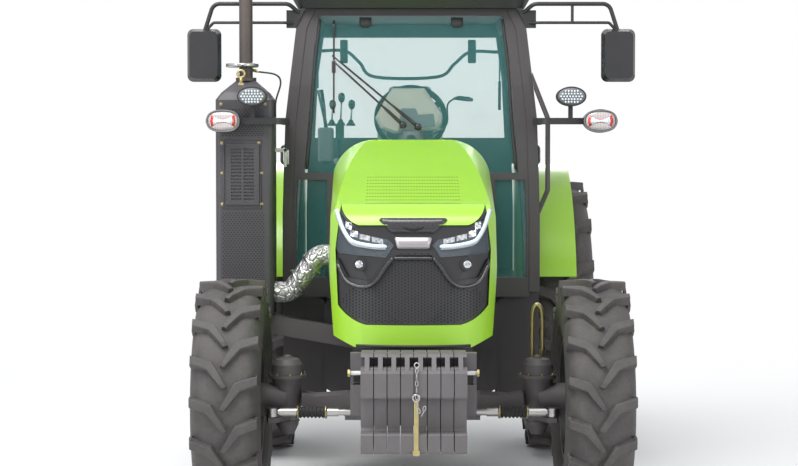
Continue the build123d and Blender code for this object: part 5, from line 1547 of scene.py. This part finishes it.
class TRACTOR_OT_controls(bpy.types.Operator):
    """Steering cowl with its dials, levers, joystick and pedals, and the rail with two gas struts behind"""
    bl_idname = "tractor.controls"
    bl_label = "Controls"

    def execute(self, context):
        cowl = Shell()
        outline = [(-0.109, 2.294), (0.080, 2.294), (0.136, 2.213), (0.186, 2.135), (0.183, 2.089),
                   (0.147, 2.047), (-0.101, 2.024), (-0.182, 2.056), (-0.211, 2.118), (-0.146, 2.241)]
        rings = []
        for y, k in ((-0.030, 0.86), (-0.018, 0.97), (0.010, 1.0), (0.060, 1.0), (0.085, 0.93)):
            rings.append([Vector(((x + 0.013) * k - 0.013, y + 0.02, (z - 2.15) * k + 2.15))
                          for x, z in outline])
        cowl.loft(rings, beige_plastic)
        inner = [(-0.064, 2.182), (0.030, 2.182), (0.048, 2.141), (0.147, 2.147), (0.159, 2.065),
                 (-0.082, 2.030)]
        cowl.prism([Vector((x * 0.9, -0.016, (z - 2.11) * 0.9 + 2.11)) for x, z in inner], (0, 0.012, 0),
                   grey_plastic, 0.003)
        cowl.tube([(0.0, 0.045, 2.060), (0.0, 0.080, 1.950), (0.0, 0.100, 1.840)], [0.075, 0.070, 0.080],
                  grey_plastic, 20)
        for x, r in ((-0.070, 0.034), (0.0, 0.046), (0.072, 0.034)):
            dial = Vector((x, 0.106, 2.200))
            cowl.lathe(dial, (0, 1, 0.35), [(-0.012, r), (0.006, r), (0.008, r * 0.93), (0.003, r * 0.90)],
                       gloss_plastic, 28)
            add_round(cowl, lambda s, r=r: s.box((-0.0008, 0.005, r * 0.62), (0.0008, 0.0065, r * 0.84),
                                                 lamp_white), lamp_white, dial, (0, 1, 0.35), 12)
        cowl.piece("steering_cowl", "tractor", "black_plastic")

        gear = Shell()
        lever = smooth_line([(0.120, 0.120, 2.020), (0.213, 0.200, 2.080), (0.222, 0.280, 2.200),
                             (0.262, 0.300, 2.240)], 6)
        gear.tube(lever, 0.0055, gloss_plastic, 10)
        gear.tube([(0.262, 0.300, 2.240), (0.290, 0.300, 2.243), (0.350, 0.300, 2.236),
                   (0.376, 0.300, 2.231)], [0.008, 0.014, 0.014, 0.009], gloss_plastic, 14)
        console, top = middle("side_console"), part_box("side_console")[1].z
        for dx, dy, tall in ((0.0, -0.10, 0.15), (0.06, 0.02, 0.11), (-0.06, 0.05, 0.11)):
            foot = Vector((console.x + dx, console.y + dy, top - 0.004))
            gear.lathe(foot, Z, [(0, 0.030), (0.012, 0.026), (0.020, 0.018), (0.032, 0.014), (0.038, 0.009)],
                       seal_rubber, 20)
            gear.tube([foot + Z * 0.030, foot + Vector((0.006, -0.010, tall))], 0.0055, bare_steel, 10)
            gear.lathe(foot + Vector((0.006, -0.010, tall - 0.008)), Z,
                       [(0, 0.009), (0.010, 0.017), (0.030, 0.022), (0.050, 0.019), (0.060, 0.008)],
                       gloss_plastic, 20)
        stick = [(-0.512, 0.350, 2.063), (-0.520, 0.350, 2.120), (-0.530, 0.350, 2.190),
                 (-0.548, 0.350, 2.293)]
        gear.tube(stick, [0.012, 0.010, 0.016, 0.021], gloss_plastic, 16)
        gear.box((-0.560, 0.300, 1.860), (-0.470, 0.500, 2.066), grey_plastic, 0.012)
        for x in (-0.16, -0.05, 0.15):
            gear.box((x - 0.038, 0.030, 1.285), (x + 0.038, 0.060, 1.375), seal_rubber, 0.006,
                     Matrix.Rotation(0.5, 3, "X"))
            gear.tube([(x, 0.060, 1.330), (x, -0.030, 1.420), (x, -0.060, 1.520)], 0.009, frame_paint, 10)
        gear.piece("levers", "tractor", "black_plastic")

        rear = Shell()
        rail = smooth_line([(-0.599, 1.280, 2.576), (-0.423, 1.280, 2.576), (-0.327, 1.280, 2.500),
                            (-0.227, 1.280, 2.407), (0.178, 1.280, 2.407), (0.290, 1.280, 2.490),
                            (0.394, 1.280, 2.569), (0.577, 1.280, 2.569)], 6)
        rear.tube(rail, 0.011, frame_paint, 12)
        for a, b in ((-0.454, -0.404), (0.379, 0.432)):
            rear.box((a, 1.252, 2.495), (b, 1.272, 2.648), seal_rubber, 0.008)
        for x, z in ((-0.604, 2.334), (0.587, 2.191)):
            ends = [(x, 1.285, height) for height in (2.568, (2.568 + z) / 2, z)]
            rear.tube(ends[:2], 0.0055, bare_steel, 10)
            rear.tube(ends[1:], 0.0095, gloss_plastic, 12)
        rear.piece("rear_rail", "tractor", "black_paint")
        return {"FINISHED"}


# ---- seat -----------------------------------------------------------------------------------


SEAM_WIDTH, SEAM_DEPTH = 0.007, 0.010


def cushion(name, low, high, crown, face, seams, bolster):
    """A padded cushion: swollen under slight pressure by the crown at most, then sewn across.

    The seams are (axis, place) pairs on the side that looks along face; past the bolster's
    distance from the centre line the cover is vinyl.
    """
    mesh = form_mesh(lambda s: s.box(low, high, seat_fabric, min(h - l for l, h in zip(low, high)) * 0.42,
                                     steps=4))
    thing = bpy.data.objects.new(name, mesh)
    bpy.context.scene.collection.objects.link(thing)

    def settle():
        graph = bpy.context.evaluated_depsgraph_get()
        graph.update()
        made = bpy.data.meshes.new_from_object(thing.evaluated_get(graph))
        thing.modifiers.clear()
        thing.data = made

    remesh = thing.modifiers.new("voxels", "REMESH")
    remesh.mode = "VOXEL"
    remesh.voxel_size = 0.006
    settle()
    start = np.array([v.co[:] for v in thing.data.vertices])
    cloth = thing.modifiers.new("pad", "CLOTH")
    cloth.settings.use_pressure = True
    cloth.settings.uniform_pressure_force = 4.0
    cloth.settings.effector_weights.gravity = 0
    cloth.settings.quality = 6
    cloth.point_cache.frame_start = 1
    cloth.point_cache.frame_end = 20
    for number in range(1, 21):
        bpy.context.scene.frame_set(number)
    settle()
    bpy.context.scene.frame_set(1)
    moved = np.array([v.co[:] for v in thing.data.vertices]) - start
    far = np.linalg.norm(moved, axis=1, keepdims=True)
    places = start + moved * np.minimum(1.0, crown / np.maximum(far, 1e-9))
    face = np.array(face)
    normals = np.array([v.normal[:] for v in thing.data.vertices])
    facing = np.clip(normals @ face, 0, 1)[:, None]
    for axis, place in seams:
        near = np.exp(-((places[:, axis] - place) / SEAM_WIDTH) ** 2)[:, None]
        places = places - face * near * facing * SEAM_DEPTH
    thing.data.vertices.foreach_set("co", places.astype(np.float32).ravel())
    thing.data.update()
    subdivide = thing.modifiers.new("soft", "SUBSURF")
    subdivide.levels = subdivide.render_levels = 1
    settle()
    thing.data.materials.clear()
    thing.data.materials.append(seat_fabric())
    thing.data.materials.append(seat_vinyl())
    for polygon in thing.data.polygons:
        polygon.use_smooth = True
        polygon.material_index = 1 if abs(polygon.center.x) > bolster else 0
    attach(thing, "tractor")
    return thing


class TRACTOR_OT_seat(bpy.types.Operator):
    """Padded seat, back and head cushions, and the armrests"""
    bl_idname = "tractor.seat"
    bl_label = "Seat"

    def execute(self, context):
        low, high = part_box("seat_cushions")
        front, rear = low.y, high.y
        cushion("seat_pad", (-0.228, front + 0.012, 1.538), (0.228, 0.968, 1.628), 0.016, Z,
                [(0, -0.150), (0, 0.150), (1, 0.640), (1, 0.800)], 0.150)
        back = cushion("seat_back", (-0.223, rear - 0.088, 1.682), (0.223, rear - 0.010, 2.205), 0.016, -Y,
                       [(0, -0.145), (0, 0.145), (2, 1.82), (2, 1.95), (2, 2.08)], 0.145)
        cushion("seat_head", (-0.138, rear - 0.086, 2.216), (0.138, rear - 0.012, 2.335), 0.010, -Y, [],
                0.110)
        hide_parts("seat_cushions")
        arms = Shell()
        for side in (1, -1):
            arms.box((side * 0.262 - 0.028, 0.640, 1.836), (side * 0.262 + 0.028, 0.925, 1.884), seal_rubber,
                     0.012)
            arms.box((side * 0.252 - 0.010, 0.925, 1.800), (side * 0.252 + 0.010, 1.010, 1.880), frame_paint,
                     0.004)
        arms.piece("seat_arms", "tractor", "black_plastic")
        return {"FINISHED"}


# ---- doors and rear -------------------------------------------------------------------------


class TRACTOR_OT_door_fittings(bpy.types.Operator):
    """Door handles with their push buttons"""
    bl_idname = "tractor.door_fittings"
    bl_label = "Door fittings"

    def execute(self, context):
        for word, side in SIDES:
            rear_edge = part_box(f"door_frame_{word}")[1].y - 0.020
            skin = Skin([f"door_frame_{word}"], (-side, 0, 0))
            tries = (skin.cast(rear_edge - k * 0.004, 1.900)[0] for k in range(40))
            shell = Shell()
            spot = next(place for place in tries if place is not None) - Y * 0.020
            out = X * side
            shell.box(spot + out * 0.006 + Vector((-0.008, -0.022, -0.075)),
                      spot + out * 0.006 + Vector((0.008, 0.022, 0.075)), gloss_plastic, 0.005)
            grip = smooth_line([spot + out * 0.010 + Z * 0.060, spot + out * 0.036 + Z * 0.045,
                                spot + out * 0.038, spot + out * 0.036 - Z * 0.045,
                                spot + out * 0.010 - Z * 0.060], 5)
            shell.tube(grip, 0.0085, gloss_plastic, 12)
            shell.lathe(spot + out * 0.013, out, [(0, 0.012), (0.006, 0.012), (0.008, 0.009)],
                        bare_steel, 20)
            shell.piece(f"door_handle_{word}", f"door_{word}", "black_plastic")
        return {"FINISHED"}


class TRACTOR_OT_rear_fittings(bpy.types.Operator):
    """Rear lamps on the fenders and hose couplings above the hitch"""
    bl_idname = "tractor.rear_fittings"
    bl_label = "Rear fittings"

    def execute(self, context):
        for word, side in SIDES:
            fender = f"rear_fender_{word}"
            shell = Shell()
            spot, normal = Skin([fender], -Y).at(middle(fender).x + side * 0.03, 1.560)
            up = (Z - normal * Z.dot(normal)).normalized()
            across = up.cross(normal)
            turn = Matrix((across, up, normal)).transposed()
            mid, half = spot + normal * 0.012, Vector((0.115, 0.055, 0.014))
            shell.box(mid - half, mid + half, black_plastic, 0.008, turn)
            for dx, maker in ((-0.072, lamp_red), (0.0, lamp_amber), (0.072, lamp_white)):
                mid, half = spot + normal * 0.026 + across * dx * side, Vector((0.033, 0.044, 0.008))
                shell.box(mid - half, mid + half, maker, 0.006, turn)
            shell.piece(f"rear_lamps_{word}", "tractor", "lamp_lens")
        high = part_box("transmission_housing")[1]
        block = Shell()
        base = Skin(["transmission_housing"], -Y).at(0.0, high.z - 0.10, fallback=high.y)[0]
        block.box(base + Vector((-0.150, -0.004, -0.060)), base + Vector((0.150, 0.050, 0.060)),
                  cast_iron_paint, 0.006)

        def coupling(s):
            s.lathe((0, 0, 0), Y, [(0, 0.017), (0.010, 0.017), (0.011, 0.021), (0.030, 0.021),
                                   (0.031, 0.015), (0.046, 0.015), (0.047, 0.019), (0.056, 0.019),
                                   (0.057, 0.012)], bare_steel, 18)
        add_rows(block, coupling, bare_steel, base + Vector((-0.105, 0.048, -0.028)), (0.070, 0, 0), 4,
                 (0, 0, 0.056), 2)
        block.piece("hose_couplings", "tractor", "bare_steel")
        return {"FINISHED"}


# ---- panel and registration -----------------------------------------------------------------

PIECES = (
    TRACTOR_OT_finishes,
    TRACTOR_OT_tyres,
    TRACTOR_OT_wheel_bolts,
    TRACTOR_OT_mask,
    TRACTOR_OT_bonnet_lines,
    TRACTOR_OT_column,
    TRACTOR_OT_stalk_lamps,
    TRACTOR_OT_weights,
    TRACTOR_OT_axle_fittings,
    TRACTOR_OT_glass_trim,
    TRACTOR_OT_mirror_faces,
    TRACTOR_OT_controls,
    TRACTOR_OT_seat,
    TRACTOR_OT_door_fittings,
    TRACTOR_OT_rear_fittings,
)


class TRACTOR_PT_pieces(bpy.types.Panel):
    """Lists the operators and settings"""
    bl_label = "Tractor"
    bl_idname = "TRACTOR_PT_pieces"
    bl_space_type = "VIEW_3D"
    bl_region_type = "UI"
    bl_category = "Tractor"

    def draw(self, context):
        for piece in PIECES + (TRACTOR_OT_stage,):
            self.layout.operator(piece.bl_idname)
        for group in (context.scene.tractor_sizes, context.scene.tractor_finishes,
                      context.scene.tractor_stage):
            for name in group.bl_rna.properties.keys():
                if name not in ("rna_type", "name"):
                    self.layout.prop(group, name)


GROUPS = (TractorFinishes, TractorSizes, TractorStage)
CLASSES = GROUPS + PIECES + (TRACTOR_OT_stage, TRACTOR_PT_pieces)


def register():
    for item in CLASSES:
        bpy.utils.register_class(item)
    bpy.types.Scene.tractor_finishes = bpy.props.PointerProperty(type=TractorFinishes)
    bpy.types.Scene.tractor_sizes = bpy.props.PointerProperty(type=TractorSizes)
    bpy.types.Scene.tractor_stage = bpy.props.PointerProperty(type=TractorStage)


def unregister():
    del bpy.types.Scene.tractor_finishes
    del bpy.types.Scene.tractor_sizes
    del bpy.types.Scene.tractor_stage
    for item in reversed(CLASSES):
        bpy.utils.unregister_class(item)


def main():
    register()
    for piece in (TRACTOR_OT_stage,) + PIECES:
        family, name = piece.bl_idname.split(".")
        getattr(getattr(bpy.ops, family), name)()


if __name__ == "__main__":
    main()
